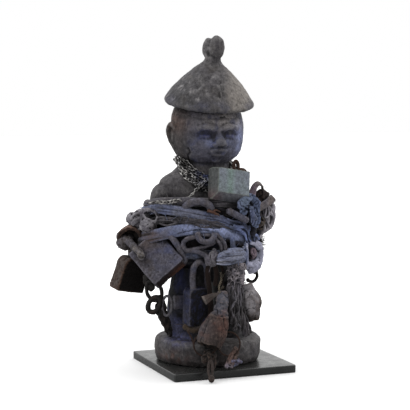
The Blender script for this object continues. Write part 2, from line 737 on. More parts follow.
def body_forms():
    forms = [limb(TRUNK)]
    x, half, arm = -6.5, 44.5, 12.5
    for side in (-1, 1):
        forms.append(limb([
            (x + side * (half - 8), 2, 205, arm - 5, arm - 3),
            (x + side * (half - 3), 3, 200, arm - 0.5, arm),
            (x + side * half, 3, 194, arm, arm + 2), (x + side * (half + 1), 4, 184, arm, arm + 1),
            (x + side * (half - 2), 3, 150, arm - 2, arm - 1)]))
        more = 2 if side < 0 else 0
        forms.append(limb([
            (side * 19, 0, 112, 18 + more, 21), (side * (24 + more), -5, 84, 18.5 + more, 19),
            (side * (25 + more), -3, 68, 19 + more, 20), (side * (25 + more), 1, 50, 17.5 + more, 17),
            (side * (24.5 + more), 0, 29, 18.5 + more, 19)]))
        forms.append(ball(carved(side * 23, -14, 37), (15, 21, 8.5), SQUARE, rough=0.02))
    base, faces = lathe([(0, 8.7), (54.5, 8.7), (57, 10), (59, 15.5), (59.6, 22), (59.5, 29), (58.3, 32.6),
                         (56, 34.6), (53, 35), (0, 35)])
    angle = np.arctan2(base[:, 1], base[:, 0])
    uneven = 1 - 0.01 * (1 + np.cos(5 * angle + 1)) - 0.012 * np.abs(np.sin(8 * angle + 0.6))
    base[:, :2] *= uneven[:, None]
    base += (FIGURE[0], FIGURE[1], 0)
    forms.append((base, faces))
    return forms


def head_shape(way):
    x, y, z = way.T
    flat = np.hypot(x, y)
    power = np.where(z > 0, 4.0, 2.55)
    reach = np.where(flat > 1e-6, (1 - np.abs(z) ** power) ** (1 / power) / np.maximum(flat, 1e-6), 0)
    front = np.maximum(0, -y) / np.maximum(flat, 1e-6)
    deep = y * reach * HEAD["half"][1] * (1 - 0.09 * front**3)
    deep = deep * np.where(z < 0, 1 + 0.07 * front**2 * np.sin(math.pi * -z), 1)
    deep = deep * (1 + 0.05 * front**4 * np.exp(-(((z - 0.22) / 0.12) ** 2)))
    deep = deep * (1 - 0.07 * front**4 * np.exp(-((z / 0.13) ** 2)))
    tall = np.where(z > 0, z * (HEAD["crown"] + HEAD["lean"] * deep), z * HEAD["half"][2] * 1.07)
    return np.stack([x * reach * HEAD["half"][0], deep, tall], 1)


def head_forms():
    way, faces = sphere(70, 96)
    skull = head_shape(way)
    middle = carved(HEAD["x"], HEAD["y"], HEAD["centre"])
    fronts = skull[skull[:, 1] < 0]

    def on_face(x, z, out=0.0):
        """A place of the face, so far across and up from the head's centre, and so far out of it."""
        gap = np.hypot(fronts[:, 0] - x, fronts[:, 2] - z)
        return middle + (x, fronts[np.argsort(gap)[:4], 1].mean() - out, z)

    def bar(places, width, depth, shape=None):
        line = [on_face(*place) for place in places]
        return sweep(line, width, depth, sides=16, step=0.8, facing=(0, -1, 0), blunt=1.0, shape=shape)

    forms = [(skull + middle, faces)]
    nose = [(0, 6, -1.4), (0, 1, 0.4), (0, -4, 2.4), (0, -8, 4.2), (0, -11, 3.2)]
    forms.append(bar(nose, 10.5, 8, shape=lambda s, a, total: 0.55 + 0.75 * s / total))
    chin = [(0, -25.5, -0.4), (0, -28, 0.2)]
    forms.append(bar(chin, 15, 9))
    for side in (-1, 1):
        nostril, eye = on_face(side * 5.4, -9.8, 0.8), on_face(side * 14.5, -0.6, -2.2)
        forms.append(ball(nostril, (3.7, 4.2, 3.0), SQUARE, rough=0))
        forms.append(ball(eye, (7.6, 4.6, 3.6), (0, 0, side * 20 - TIED_DEGREES), rough=0))
        brow = [(side * x, z, out)
                for x, z, out in ((3.5, 5.4, -1), (9, 8.2, -0.2), (16, 8.4, -0.2), (23.5, 5, -1.2))]
        forms.append(bar(brow, 7, 4.6))
        ear = [middle + (side * k * HEAD["half"][0], y, z) for k, y, z in EAR]
        forms.append(sweep(ear, 5.6, 6))
        forms.append(ball(middle + (side * 0.965 * HEAD["half"][0], 1, -1), (3, 6, 9), SQUARE, rough=0))
    upper_lip = [(x, -15.5 - drop, out) for x, drop, out in (
        (-9.5, 1.7, -1.4), (-5, 0.5, 0.2), (0, 0, 0.8), (5, 0.5, 0.2), (9.5, 1.7, -1.4))]
    lower_lip = [(x, -20.9 + rise, out) for x, rise, out in (
        (-8.5, 2.1, -1.4), (-4.5, 0.5, 0.4), (0, 0, 0.9), (4.5, 0.5, 0.4), (8.5, 2.1, -1.4))]
    forms.append(bar(upper_lip, 4.2, 5))
    forms.append(bar(lower_lip, 4.4, 5.2))
    return forms


def turn_about_x(degrees):
    c, s = math.cos(math.radians(degrees)), math.sin(math.radians(degrees))
    return np.array([[1, 0, 0], [0, c, -s], [0, s, c]])


HAT_TILT = turn_about_x(HAT["forward"])


def hat_forms():
    radius, height, neck = HAT["radius"], HAT["height"], HAT["neck"]
    cone = lathe([(0, -6), (radius * 0.6, -5.2), (radius - 3, -3.6), (radius - 0.8, -2.2), (radius, -0.2),
                  (radius - 0.9, 2.2), (radius * 0.92, 6.2), (radius * 0.83, 12), (radius * 0.72, 18.6),
                  (radius * 0.6, 25.2), (radius * 0.47, 31.8), (radius * 0.34, 37.4), (radius * 0.24, 41.4),
                  (neck, height), (neck - 0.4, height + 4), (0, height + 6)])
    forms = [cone]
    for x, y, z, wide, tall in ((2.2, -3.0, 14.2, 8.6, 13.4), (-4.4, 4.4, 12.4, 6.2, 11.4)):
        v, faces = sphere(24, 32)
        forms.append((v * (wide, wide, tall) + (x, y, height + z), faces))
    return [(v @ HAT_TILT.T + carved(*HAT["centre"]), faces) for v, faces in forms]


def carved_figure():
    ob = fused("carved_figure_finish", together(*body_forms(), *head_forms(), *hat_forms()), "wood",
               "carved_figure", voxel=1.2, most=155000)
    middle = carved(HEAD["x"], HEAD["y"], HEAD["centre"])
    face = middle - (0, HEAD["half"][1], 0)
    eyes = [face + (side * 14.5, 5.5, 1.2) for side in (-1, 1)]
    cheeks = [smooth_line([face + (side * x, y, z) for x, y, z in ((4.6, 0.5, 3), (6, 0, -4), (9, 1, -11))])
              for side in (-1, 1)]
    skin, _ = read(ob)
    crack = [skin[np.argmin(((skin - place) ** 2).sum(1))] for place in (
        at(-24.7, 33, 242.6), at(-23.3, 31, 238.9), at(-25.2, 28.3, 235.6), at(-25.7, 23.5, 232.4),
        at(-23.5, 18.5, 229.4))]
    worm_holes = [at(9, 35, 310.7), at(10.1, 36.7, 306.4), at(9, 39.8, 301.1), at(6.9, 43, 296.8)]

    def worked(v, n):
        calm = 1 - 0.8 * near(v, face, (30, 14, 32))
        marks = 0.55 * noise(v, 9, 1) + 0.3 * noise(v, 4.2, 2)
        grain = 0.18 * noise(v / (1, 1, 7), 1.3, 3) + 0.14 * noise(v, 1.8, 4)
        pitted = -0.45 * step_up(rough_noise(v, 2.6, 6), 0.42, 0.8)
        made = marks * calm + grain * (0.4 + 0.6 * calm) + pitted * calm
        made -= 1.9 * sum(near(v, eye, (9.5, 8, 5.5)) for eye in eyes)
        for eye, side in zip(eyes, (-1, 1)):
            lid = [eye + (side * x, -6, z - 1.2) for x, z in ((-6, -1.0), (0, -1.9), (6, -1.0))]
            lid = smooth_line(lid, fine=6)
            made -= 0.8 * near_line(v, lid, 0.9)
        mouth = smooth_line([face + (x, -1, z) for x, z in ((-8.5, -18), (0, -18.2), (8.5, -18))], fine=6)
        made -= 0.9 * near_line(v, mouth, 1.0)
        made -= 1.6 * near_line(v, crack, 0.9)
        made -= 2.2 * near_line(v, worm_holes, 1.5) * step_up(noise(v, 1.8, 31), -0.2, 0.3)
        return made

    ruffle(ob, worked)
    sooty = lambda v, n: ((1 - 0.55 * step_up(v[:, 2], 36, 40) * step_up(175 - v[:, 2], 0, 40))
                          * (1 - 0.12 * step_up(v[:, 2], 222, 227) * step_up(300 - v[:, 2], 0, 8)))
    tinted(ob, *carved_spots(middle, eyes, cheeks, crack, worm_holes), seed=0, hollow=0.75, shade=sooty)


def carved_spots(middle, eyes, cheeks, crack, worm_holes):
    """Smoke, dust and blue pigment on the carving, region by region."""
    hat_height = lambda v: ((v - carved(*HAT["centre"])) @ HAT_TILT)[:, 2]
    hat = lambda v: step_up(hat_height(v), -6.4, -5.2)
    head = lambda v: step_up(v[:, 2], 221, 226) * (1 - hat(v))
    front = lambda v: step_up((middle - v)[:, 1], -4, 18)
    across = lambda v: (v - middle) @ at(1, 0, 0)
    temple = lambda v: step_up(-across(v), 10, 27)
    legs = lambda v: step_up(v[:, 2], 35.5, 38) * step_up(150 - v[:, 2], 0, 30)
    foot = lambda v: step_up(36.5 - v[:, 2], 0, 1)
    face_at = middle - (0, HEAD["half"][1], 0)

    def stained(colour, share, region, size, seed, low, high):
        return colour, lambda v, n: share * region(v) * step_up(rough_noise(v, size, seed), low, high)

    def touched(colour, share, region, place, radii):
        return colour, lambda v, n: share * region(v) * near(v, place, radii)

    return [
        ("2c2827", lambda v, n: 0.85 * head(v)),
        stained("4a423f", 0.6, head, 12, 12, -0.1, 0.5),
        ("5b5a68", lambda v, n: 0.9 * head(v) * front(v) * (1 - 0.85 * temple(v))),
        touched("a8a19e", 0.85, head, middle + (6, -34, 17), (27, 17, 11)),
        touched("96a0cc", 0.75, head, middle + (26, -24, -7), (9, 18, 15)),
        touched("5e4438", 0.7, head, at(-38, 18, 270), (11, 22, 11)),
        ("7f88ae", lambda v, n: 0.6 * sum(near(v, face_at + (side * 11, 3, -7.5), (5, 8, 4.5))
                                          for side in (-1, 1))),
        ("343236", lambda v, n: 0.5 * head(v) * front(v) * step_up(rough_noise(v, 9, 14), 0.0, 0.6)),
        ("343b60", lambda v, n: (0.6 * head(v) * front(v) * (1 - temple(v))
                                 * step_up(rough_noise(v, 7, 17), 0, 0.6))),
        ("252d68", lambda v, n: (0.8 * sum(near(v, eye, (9, 9, 4.6)) for eye in eyes)
                                 * step_up(noise(v, 3.2, 18), -0.9, 0.2))),
        ("252d68", lambda v, n: 0.75 * sum(near_line(v, line, 2.4) for line in cheeks)),
        dab("575e78", 0.5, middle + (0, -40, -8), (9, 12, 12), 4, 19, -0.6, 0.4),
        ("070707", lambda v, n: (0.9 * near_line(v, crack, 1.3) + 0.95 * near_line(v, worm_holes, 1.8)
                                 * step_up(noise(v, 1.8, 31), -0.2, 0.3))),
        ("070708", lambda v, n: 0.97 * np.exp(-(((hat_height(v) + 8.8) / 3.8) ** 2)) * (n[:, 2] < 0.4)),
        ("3b3a3d", lambda v, n: 0.8 * hat(v) * step_up(-across(v), -8, 34)),
        stained("6a6460", 0.55, hat, 17, 41, 0.0, 0.5),
        stained("38332f", 0.5, hat, 13, 42, 0.1, 0.5),
        stained("8a8788", 0.7, hat, 5, 43, 0.2, 0.7),
        ("8b847d", lambda v, n: 0.7 * hat(v) * step_up(across(v), 14, 34)),
        dab("cfcecf", 0.9, at(-8.5, 2, 352), (5, 11, 12)),
        ("232226", lambda v, n: 0.7 * hat(v) * step_up(1.5 - hat_height(v), 0, 4)),
        ("3c3d52", lambda v, n: (0.55 * hat(v) * step_up(11 - hat_height(v), 0, 8)
                                 * step_up(rough_noise(v, 10, 21), -0.3, 0.4))),
        ("13131c", lambda v, n: 0.95 * legs(v)),
        ("48508c", lambda v, n: (0.85 * legs(v) * step_up(-across(v), 12, 34)
                                 * step_up(rough_noise(v / (1, 1, 3), 7, 23), -0.35, 0.5))),
        stained("332b29", 0.8, foot, 16, 25, -0.2, 0.4),
        ("5a3a30", lambda v, n: (0.7 * foot(v) * near(v, at(-38, 40, 17), (20, 22, 7))
                                 * step_up(noise(v, 4, 26), -0.5, 0.5))),
        ("171312", lambda v, n: 0.85 * foot(v) * step_up(17 - v[:, 2], 0, 7)),
        touched("191514", 0.75, foot, at(-6, 60, 25), (26, 24, 26)),
        dab("5a60a0", 0.85, at(-36, 33, 35), (10, 15, 6), 4, 27, -0.8, 0.1),
        dab("8a90c8", 0.8, at(-39, 26, 48), (6, 12, 13), 5, 28, -0.7, 0.2),
        dab("7c7a8e", 0.7, at(-36, 34, 43), (9, 16, 10), 4, 29, -0.8, 0.1)]


# Neck chain of single links
def trunk_at(height):
    rows = np.array(TRUNK, float)
    return np.array([np.interp(height, rows[:, 2], rows[:, k]) for k in range(5)])


# Degrees round the neck, and for each turn of the chain its heights there and how far out it lies
NECK_TURNS = (0, 60, 120, 165, 200, 232, 262, 290, 325)
NECK_LOOPS = (
    ((231, 229, 222, 209, 215, 225, 232, 232, 231), (2, 2, 2, 3, 2, 2, 5, 3, 2)),
    ((230, 228, 219, 206, 211, 221.5, 230, 231, 230), (4.5, 3, 2.5, 3, 3, 3, 8, 6, 5)),
    ((229, 227, 215, 201, 207, 218, 228, 230, 229), (3, 3, 3, 3, 3, 5, 9.5, 5, 3)),
    ((229, 226, 213, 198, 204, 215, 226, 229, 228), (5, 4, 3, 3, 4, 3, 6, 8, 6)),
    ((228, 225, 212, 197, 209, 219, 225, 229, 227), (4, 4, 4, 4, 5.5, 6, 5, 6, 4)),
    ((230, 228, 217, 203.5, 213, 223, 231, 230, 230), (6, 5, 4.5, 5, 4.5, 3.5, 5, 7, 6)),
    ((228, 225, 210, 194, 202, 216.5, 227, 229, 228), (6, 6, 5, 4.5, 4.5, 4, 4, 6, 6)))


def neck_chain_line():
    """The chain's turns round the neck. Its last places give way to the tail over the shoulder."""
    points = []
    for heights, outs in NECK_LOOPS:
        for turn, height, out in zip(NECK_TURNS, heights, outs):
            a = math.radians(turn)
            x, y, _, wide, deep = trunk_at(height)
            points.append(carved(x + (wide + out) * math.sin(a), y + (deep + out) * math.cos(a), height))
    points = points[:-4] + path(((-8, 34, 207), (-12, 37.5, 202.5), (-18.7, 42.5, 196.5), (-26, 48.5, 191),
                                 (-34, 54, 188), (-44, 55.5, 186.5), (-55, 53, 185.5), (-66, 45, 184.5)))
    line, _, _ = even(smooth_line(points), 2.0)
    return line + 0.9 * np.stack([noise(line, 8, k) for k in (51, 52, 53)], 1)


def chain(line, pitch, length, width, wire, sides, turn, loose):
    line, _, _ = even(line, pitch)
    way, normal, side = frames_along(line, None, False)
    forms = []
    for i, place in enumerate(line):
        a = turn + (i % 2) * math.pi / 2 + loose * math.sin(2.7 * i)
        short = normal[i] * math.cos(a) + side[i] * math.sin(a)
        forms.append(ring(place, way[i], short, length, width, wire, sides=sides, step=0.9))
    return together(*forms)


def neck_chain():
    form = chain(neck_chain_line(), pitch=3.7, length=6.2, width=4.7, wire=1.5, sides=6, turn=0.7, loose=0.6)
    ob = piece("neck_chain_links", form, "brass", "neck_chain")
    tinted(ob, ("94918f", 0.95), patches("2b2829", 0.9, 4, 2, -0.45, 0.3),
           ("dcdad8", lambda v, n: 0.8 * step_up(noise(v, 3, 6), 0.0, 0.5) * step_up(n[:, 2], -0.2, 0.5)),
           dab("4d5680", 0.8, at(-6, 30, 212), (11, 14, 10), 4, 9, -0.6, 0.2), patch=6, edge=0.1,
           hollow=0.5, finish="chain")


# Wraps round the body
def wrap_place(half, degrees, height):
    a = math.radians(degrees)
    return (BODY_WRAP["x"] + half[0] * math.sin(a), BODY_WRAP["y"] - half[1] * math.cos(a), height)


def wrap_line(half, heights, outs=None):
    count = len(heights)
    return [wrap_place((half[0] + out, half[1] + out), -180 + i * 360 / count, z)
            for i, (z, out) in enumerate(zip(heights, outs or [0] * count))]


def outwards(line):
    way = np.stack([line[:, 0] - BODY_WRAP["x"], 1.6 * (line[:, 1] - BODY_WRAP["y"]), 0 * line[:, 0]], 1)
    return unit(way)


def pleats(width, count, depth, seed, square=2.6, grain=0.04, swell=0.1):
    """A strip of this width gathered in so many lengthwise folds, with creases that wander along it."""

    def raw(s, a):
        across = np.sin(a) * width / 2
        scale = (np.abs(np.cos(a)) ** square + np.abs(np.sin(a)) ** square) ** (-1 / square)
        for k in range(count):
            place = ((k + 0.5) / count - 0.5) * width * 0.85 + width * 0.3 * along(s, 34, seed + k)
            strength = depth * step_up(along(s, 19, seed + 40 + k), -0.9, 0.9)
            scale = scale - strength * np.exp(-(((across - place) / (0.1 * width)) ** 2))
        spot = np.stack([np.cos(a) * width / 2, np.sin(a) * width / 2, s], -1)
        scale = scale + grain * noise(spot / (1, 1, 5), 1.4, seed + 9) + swell * along(s, 13, seed + 7)
        scale = scale + 0.05 * (ridges(spot + across[..., None] * (0, 0, 0.8), 5.5, seed + 12) - 0.5)
        return scale + 0.5 * grain * noise(bar_skin(s, a, 3), 2.0, seed + 11)

    def shape(s, a, total):
        blend = np.clip((s - (total - 25)) / 25, 0, 1)
        return (1 - blend) * raw(s, a) + blend * raw(s - total, a)

    return shape


def gathered(rows, flat, sides, step, folds, deep, seed, square=2.6, facing=None):
    """A gathered strip along each row of places, of the row's own width."""
    return [sweep(path(places), width, width * flat, sides=sides, step=step, facing=facing,
                  shape=pleats(width, folds, deep, seed + k, square=square))
            for k, (places, width) in enumerate(rows)]


# How far a loose thread droops for each square millimetre of its reach
THREAD_DROOP = np.array([0, 0, 0.02])


def threads(line, outward, count, seed, reach=(4, 11), wire=0.45, off=3.0):
    """Loose ends of thread that stand off a strip."""
    pick = np.random.default_rng(seed)
    forms = []
    for i in pick.integers(1, len(line) - 1, count):
        way = unit(line[i + 1] - line[i - 1])
        out = outward[i]
        up = np.cross(way, out)
        start = line[i] + out * off * 0.6 + up * pick.uniform(-1, 1) * off
        aim = unit(out * pick.uniform(0.1, 0.8) + up * pick.uniform(-1, 1) + way * pick.uniform(-1.4, 1.4))
        size = pick.uniform(*reach)
        bend = unit(pick.normal(size=3)) * size * 0.3
        marks = np.linspace(0, 1, 5)[:, None]
        places = start + aim * size * marks + bend * marks**2 - THREAD_DROOP * (size * marks) ** 2
        forms.append(sweep(places, wire, sides=4, step=1.3))
    return forms


def belt(half, heights, width, depth, shape, outs=None):
    return sweep(wrap_line(half, heights, outs), width, depth, sides=40, step=0.9, facing=outwards,
                 closed=True, shape=shape)


def belt_threads(half, heights, count, seed):
    line, _, _ = even(smooth_line(wrap_line(half, heights), True), 2.0, True)
    return threads(line, outwards(line), count, seed)


# Heights of each wrap round the body at even steps from behind, and how far the lower band stands out
UPPER_BAND = (166, 170, 172, 174, 178, 174.5, 166.5, 153, 143, 141, 146, 157)
LOWER_BAND = (135, 136, 138, 143.5, 150.5, 157, 153.5, 143.2, 132.5, 131, 132, 134)
LOWER_BAND_OUT = (0, 0, 0, 5, 4, 0, 0, 0, 0, 0, 0, 0)
CHEST_ROLL = (179, 178.5, 180, 181.5, 185.5, 186, 184.5, 181.5, 173, 168, 170, 176)
LOWER_WRAP = (117, 116, 117, 119, 122, 130, 127.5, 127, 125, 122, 119, 118)


# The dark gaps between the bands
BAND_GAPS = ("0a0a0f", lambda v, n: (0.92 * near(v, at(20.5, 51, 157), (7, 9, 3))
                                     + 0.9 * near(v, at(-30, 50, 167.5), (11, 12, 2))))


def upper_band():
    """The upper band, with the frayed strips at its lower right."""
    half = (65, 50.5)
    frayed = (((6, 168), (19, 163.5), (31, 151), (38, 138)), ((12, 161), (26, 156), (33, 141), (35, 128)),
              ((16, 166), (27, 158), (44, 143)), ((8, 160), (22, 153), (29, 141), (36, 133)),
              ((15, 153), (24, 149.5), (33, 136)), ((22, 164), (36, 150), (49, 143)),
              ((20, 157), (29, 149), (32, 135), (28, 124)), ((29, 159), (37, 146), (37, 132)))
    ragged = []
    for k, places in enumerate(frayed):
        route = smooth_line([wrap_place((69.5 + 2 * (k % 2), 54.5 + 2 * (k % 2)), *p) for p in places])
        route = route + 1.2 * np.stack([noise(route, 7, 60 + 3 * k + m) for m in range(3)], 1)
        width = (2.2, 3.8, 1.6, 3)[k % 4]
        fold = pleats(3, 1, 0.45, 70 + k, square=2.0, grain=0.14, swell=0.2)
        ragged.append(sweep(route, width, 1.8, step=0.8, facing=outwards, curved=False, shape=fold))
    form = together(belt(half, UPPER_BAND, 11, 6.4, pleats(10, 2, 0.34, 3)),
                    *belt_threads(half, UPPER_BAND, 110, 5), *ragged)
    ob = piece("upper_cloth_band_folds", form, "blue_cloth", "upper_cloth_band")
    dark = lambda v, n: (0.9 * near(v, at(40, 36, 148), (20, 24, 18))
                         * step_up(rough_noise(v, 4, 8), -0.15, 0.2))
    tinted(ob, dab("8c9cd8", 0.8, at(40, 40, 146), (30, 30, 16)),
           dab("787884", 0.75, at(-25, 45, 172), (50, 40, 18), 7, 5, -0.8, 0.2), BAND_GAPS,
           ("12131c", dark), seed=1)


def lower_band():
    half = (65.5, 50.5)
    form = together(belt(half, LOWER_BAND, 13.6, 6.6, pleats(12.5, 2, 0.3, 21, swell=0.12),
                         outs=LOWER_BAND_OUT), *belt_threads(half, LOWER_BAND, 110, 8))
    ob = piece("lower_cloth_band_folds", form, "blue_cloth", "lower_cloth_band")
    bright = lambda v, n: (0.85 * near(v, at(-2, 50, 157), (32, 30, 10))
                           + 0.7 * near(v, at(38, 30, 140), (24, 30, 14)))
    tinted(ob, stains("62646f", 0.6, 10, 33, 0.0, 0.5), ("c4d0ff", bright),
           dab("3f322c", 1.6, at(-80, 36, 143), (24, 30, 16), 6, 7, -0.9, 0),
           dab("12131c", 0.9, at(44, 28, 141), (11, 20, 11)),
           dab("5f4e49", 0.85, at(-67, 44, 148), (17, 28, 11), 5, 5, -0.9, 0.1), seed=2)


def chest_roll():
    half = (61.5, 47)
    form = together(belt(half, CHEST_ROLL, 9.2, 7.4, pleats(9, 2, 0.22, 33, square=2.2, swell=0.14)),
                    *belt_threads(half, CHEST_ROLL, 80, 11))
    tinted(piece("chest_roll_folds", form, "grey_cloth", "chest_roll"),
           patches("3f4258", 0.5, 12, 3, 0, 0.5), ("38332f", 0.5),
           stains("35302f", 0.6, 9, 13, 0.1, 0.5), seed=3)


def lower_wrap():
    """The pale wrap, with a bundle tucked into its front and ends that hang from it."""

    def fat(s, a, total):
        front = np.exp(-(((s / total - 0.53) / 0.055) ** 2))
        return (1 + 0.3 * front) * pleats(11, 3, 0.2, 45, square=2.1)(s, a, total)

    def bundle(s, a, total):
        spot = np.stack([np.cos(a) * 5, np.sin(a) * 8 + 1.5 * along(s, 9, 3), s / 11], -1)
        girth = np.interp(s / total, (0, 0.14, 0.4, 0.7, 1), (0.42, 0.74, 1.05, 0.98, 0.45))
        return girth * (0.7 + 0.4 * ridges(spot, 3.4, 47) + 0.22 * ridges(spot, 1.7, 48))

    line = smooth_line(path(((3, 62, 124.5), (11, 62, 127), (20, 58, 128.6), (28, 52, 128.4), (37, 42, 126))))
    front, _, _ = even(line, 1.5)
    forms = [belt((63, 49), LOWER_WRAP, 11, 8.8, fat), *belt_threads((63, 49), LOWER_WRAP, 70, 14),
             sweep(line, 17.5, 11, sides=72, step=0.75, facing=outwards, curved=False, shape=bundle),
             *threads(front, outwards(front), 12, 21, reach=(4, 8), wire=0.7, off=5)]
    tucked = (
        ((4, 66, 122), (12, 66.5, 121), (20, 62, 121)), ((4, 66.5, 125), (11, 68, 126), (18, 65, 128)),
        ((30, 52, 133), (35, 48, 138), (35, 46, 143)), ((36, 47, 118), (37, 46, 130), (34, 47, 141)))
    for k, places in enumerate(tucked):
        forms.append(sweep(path(places), 1.8, sides=10, step=0.8, shape=pleats(2, 1, 0.2, 60 + k)))
    ends = (
        (((-4, 54, 121), (-5, 53, 108), (-3, 49, 92), (-1.5, 43, 60)), 6),
        (((3, 54, 119), (4.5, 53, 107), (3, 52, 96)), 5.4),
        (((10, 52, 118), (11.5, 52, 108), (10, 53, 97)), 3.8))
    ends = gathered(ends, flat=0.7, sides=20, step=0.8, folds=2, deep=0.25, seed=51, square=2.1, facing=OUT)
    dressed("lower_wrap_ends", ends, "brown_cloth", "lower_wrap", ("20130f", 0.85), seed=4, edge=0.1)
    dressed("lower_wrap_folds", forms, "blue_cloth", "lower_wrap",
            dab("9598ab", 0.9, at(19, 54, 128), (21, 20, 12), 6, 4, -0.8, 0.2),
            dab("b9b6bc", 0.8, at(8, 66, 123), (8, 6, 4)),
            ("0d0e16", lambda v, n: 0.85 * near_line(v, [at(15, 66, 131.5), at(23, 60, 131)], 1.3)), seed=4)


def core_wrap():
    """Cloth wound round the body, in close uneven turns."""
    profile = [(0, 0), (0.78, 0), (0.99, 0.15), (1.01, 0.5), (0.98, 0.82), (0.84, 1), (0, 1)]
    height = BODY_WRAP["top"] - BODY_WRAP["bottom"]
    v, faces = lathe([(r, BODY_WRAP["bottom"] + h * height) for r, h in profile])
    v = v * (*BODY_WRAP["half"], 1)
    angle = np.arctan2(v[:, 1], v[:, 0])
    v[:, :2] *= (1 + 0.02 * np.sin(3 * angle + v[:, 2] / 9))[:, None]
    forms = [(v + (BODY_WRAP["x"], BODY_WRAP["y"], 0), faces)]
    pick = np.random.default_rng(7)
    for k in range(24):
        middle = -25 + 90 * pick.uniform(-1, 1)
        spread = pick.uniform(22, 60)
        low, slope = pick.uniform(122, 184), pick.uniform(-0.22, 0.12)
        turns = np.linspace(-spread, spread, 9)
        line = [wrap_place((60.5 + pick.uniform(-1, 1.2), 46.5 + pick.uniform(-1, 1.2)), middle + d,
                           np.clip(low + slope * d + pick.normal(0, 0.8), 120, 186)) for d in turns]
        width = pick.uniform(2.2, 5.5)
        forms.append(sweep(line, width, width * 0.8, sides=12, step=1.2, facing=outwards,
                           shape=pleats(width, 1, 0.2, 60 + k, square=2.1)))
    # Ends and folds that show between the irons of the front
    between = (
        (((-19, 53, 154), (-19.5, 54, 147.5), (-18.5, 52, 142)), 4.6),
        (((-26, 50, 144), (-19, 52, 142), (-12, 51, 139)), 7),
        (((12, 50, 146), (20, 47, 143), (29, 42, 141)), 5),
        (((-24, 49, 131), (-14, 50, 128), (-4, 50, 126)), 6),
        (((26, 44, 140), (33, 38, 138), (40, 32, 134)), 6),
        (((47, 22, 176), (50.5, 19, 162), (49, 20, 147)), 12),
        (((28, 42, 126), (34, 38, 120), (40, 33, 115)), 9),
        (((44, 33, 168), (44.5, 32, 157), (43, 34, 147)), 9),
        (((-12, 48, 184), (2, 49, 180), (14, 47, 177)), 4),
        (((-52, 44, 170), (-42, 48, 170), (-30, 50, 168)), 4))
    for places, width in between:
        forms.append(sweep(path(places), width, width * 0.8, facing=outwards,
                           shape=pleats(width, 2, 0.25, 81, square=2.1)))
    ob = fused("core_wrap_folds", together(*forms), "dark_cloth", "core_wrap", voxel=1.25, soft=1)
    ruffle(ob, lambda v, n: (1.5 * ridges(v * (0.3, 0.3, 1), 4.2, 2)
                             + 0.6 * noise(v * (0.5, 0.5, 1), 2.0, 5) - 1.1))
    tinted(ob, dab("2c3350", 0.6, at(-5, 46, 145), (50, 30, 30), 8, 3, -0.3, 0.5),
           patches("3d3430", 0.6, 10, 9, 0.1, 0.6), seed=5)


def middle_rope():
    """The frayed cord between the bands: the cord itself, and the fibres that have come off it."""
    turns = ((-150, 154), (-120, 158), (-90, 161), (-60, 165.4), (-30, 166.2), (-5, 161.5), (14, 155.5))
    line = smooth_line([wrap_place((63.5, 49.5), a, z) for a, z in turns])
    twist = lambda s, a, total: (1 + 0.2 * np.cos(3 * a - 2 * math.pi * s / 8)
                                 + 0.06 * noise(bar_skin(s, a, 3), 1.5, 4))
    form = sweep(line, 6.4, 5.4, sides=27, step=0.8, facing=outwards, curved=False, shape=twist)
    ob = piece("middle_rope_strands", form, "grey_cloth", "middle_rope")
    brown = stains("322e30", 0.7, 6, 15, -0.2, 0.4)
    tinted(ob, brown, BAND_GAPS, seed=6)
    pick = np.random.default_rng(6)
    places, _, _ = even(line, 2.0)
    out = outwards(places)
    forms = []
    for k in range(46):
        start, size = pick.integers(int(len(places) * 0.35), len(places) - 6), int(pick.integers(8, 24))
        part = places[start : start + size]
        if len(part) < 4:
            continue
        rise = pick.uniform(-5.5, 4.5)
        bow = np.sin(np.linspace(0, math.pi, len(part)))[:, None]
        wave = 0.9 * along(np.arange(len(part)) * 2.0, 9, 70 + k)[:, None]
        lifted = out[start : start + size] * (pick.uniform(0.6, 2.6) + 1.6 * bow)
        route = part + lifted + np.array([0, 0, 1]) * (rise * (0.4 + 0.6 * bow) + wave)
        width = pick.uniform(0.8, 2.3)
        forms.append(sweep(route[::2] if len(route) > 6 else route, width, sides=8, step=0.9,
                           shape=pleats(width, 1, 0.2, 90 + k, square=2.0)))
    forms += threads(places, out, 120, 16, reach=(3, 9), wire=0.5, off=3.5)
    fibres = piece("middle_rope_fibres", together(*forms), "grey_cloth", "middle_rope")
    tinted(fibres, patches("5b5659", 0.7, 9, 5, -0.3, 0.4), brown, seed=16, edge=0.3)


# Locks
LOCKS = {
    "big": {"centre": at(-58.5, 47, 124.5), "up": towards(0.75, -0.1, 0.66),
            "face": towards(-0.25, 0.88, 0.4), "width": 47, "height": 41, "thickness": 17, "foot": 2,
            "shoulder": 2.5},
    "left": {"centre": at(-89, 13, 104), "up": towards(0.31, 0.06, 0.95),
             "face": towards(0.66, 0.72, -0.24), "width": 38, "height": 38, "thickness": 16, "foot": 2,
             "shoulder": 9},
    "front": {"centre": at(-17, 46, 73.5), "up": towards(0.02, 0.04, 1), "face": towards(0.6, 0.8, -0.02),
              "width": 27.5, "height": 41, "thickness": 14, "foot": 3, "shoulder": 6},
    "back": {"centre": carved(2, 57, 104), "up": unit(np.array([-0.14, 0.05, 0.99])),
             "face": unit(np.array([0.1, 1, 0.05])), "width": 34, "height": 36, "thickness": 15, "foot": 3,
             "shoulder": 6}}


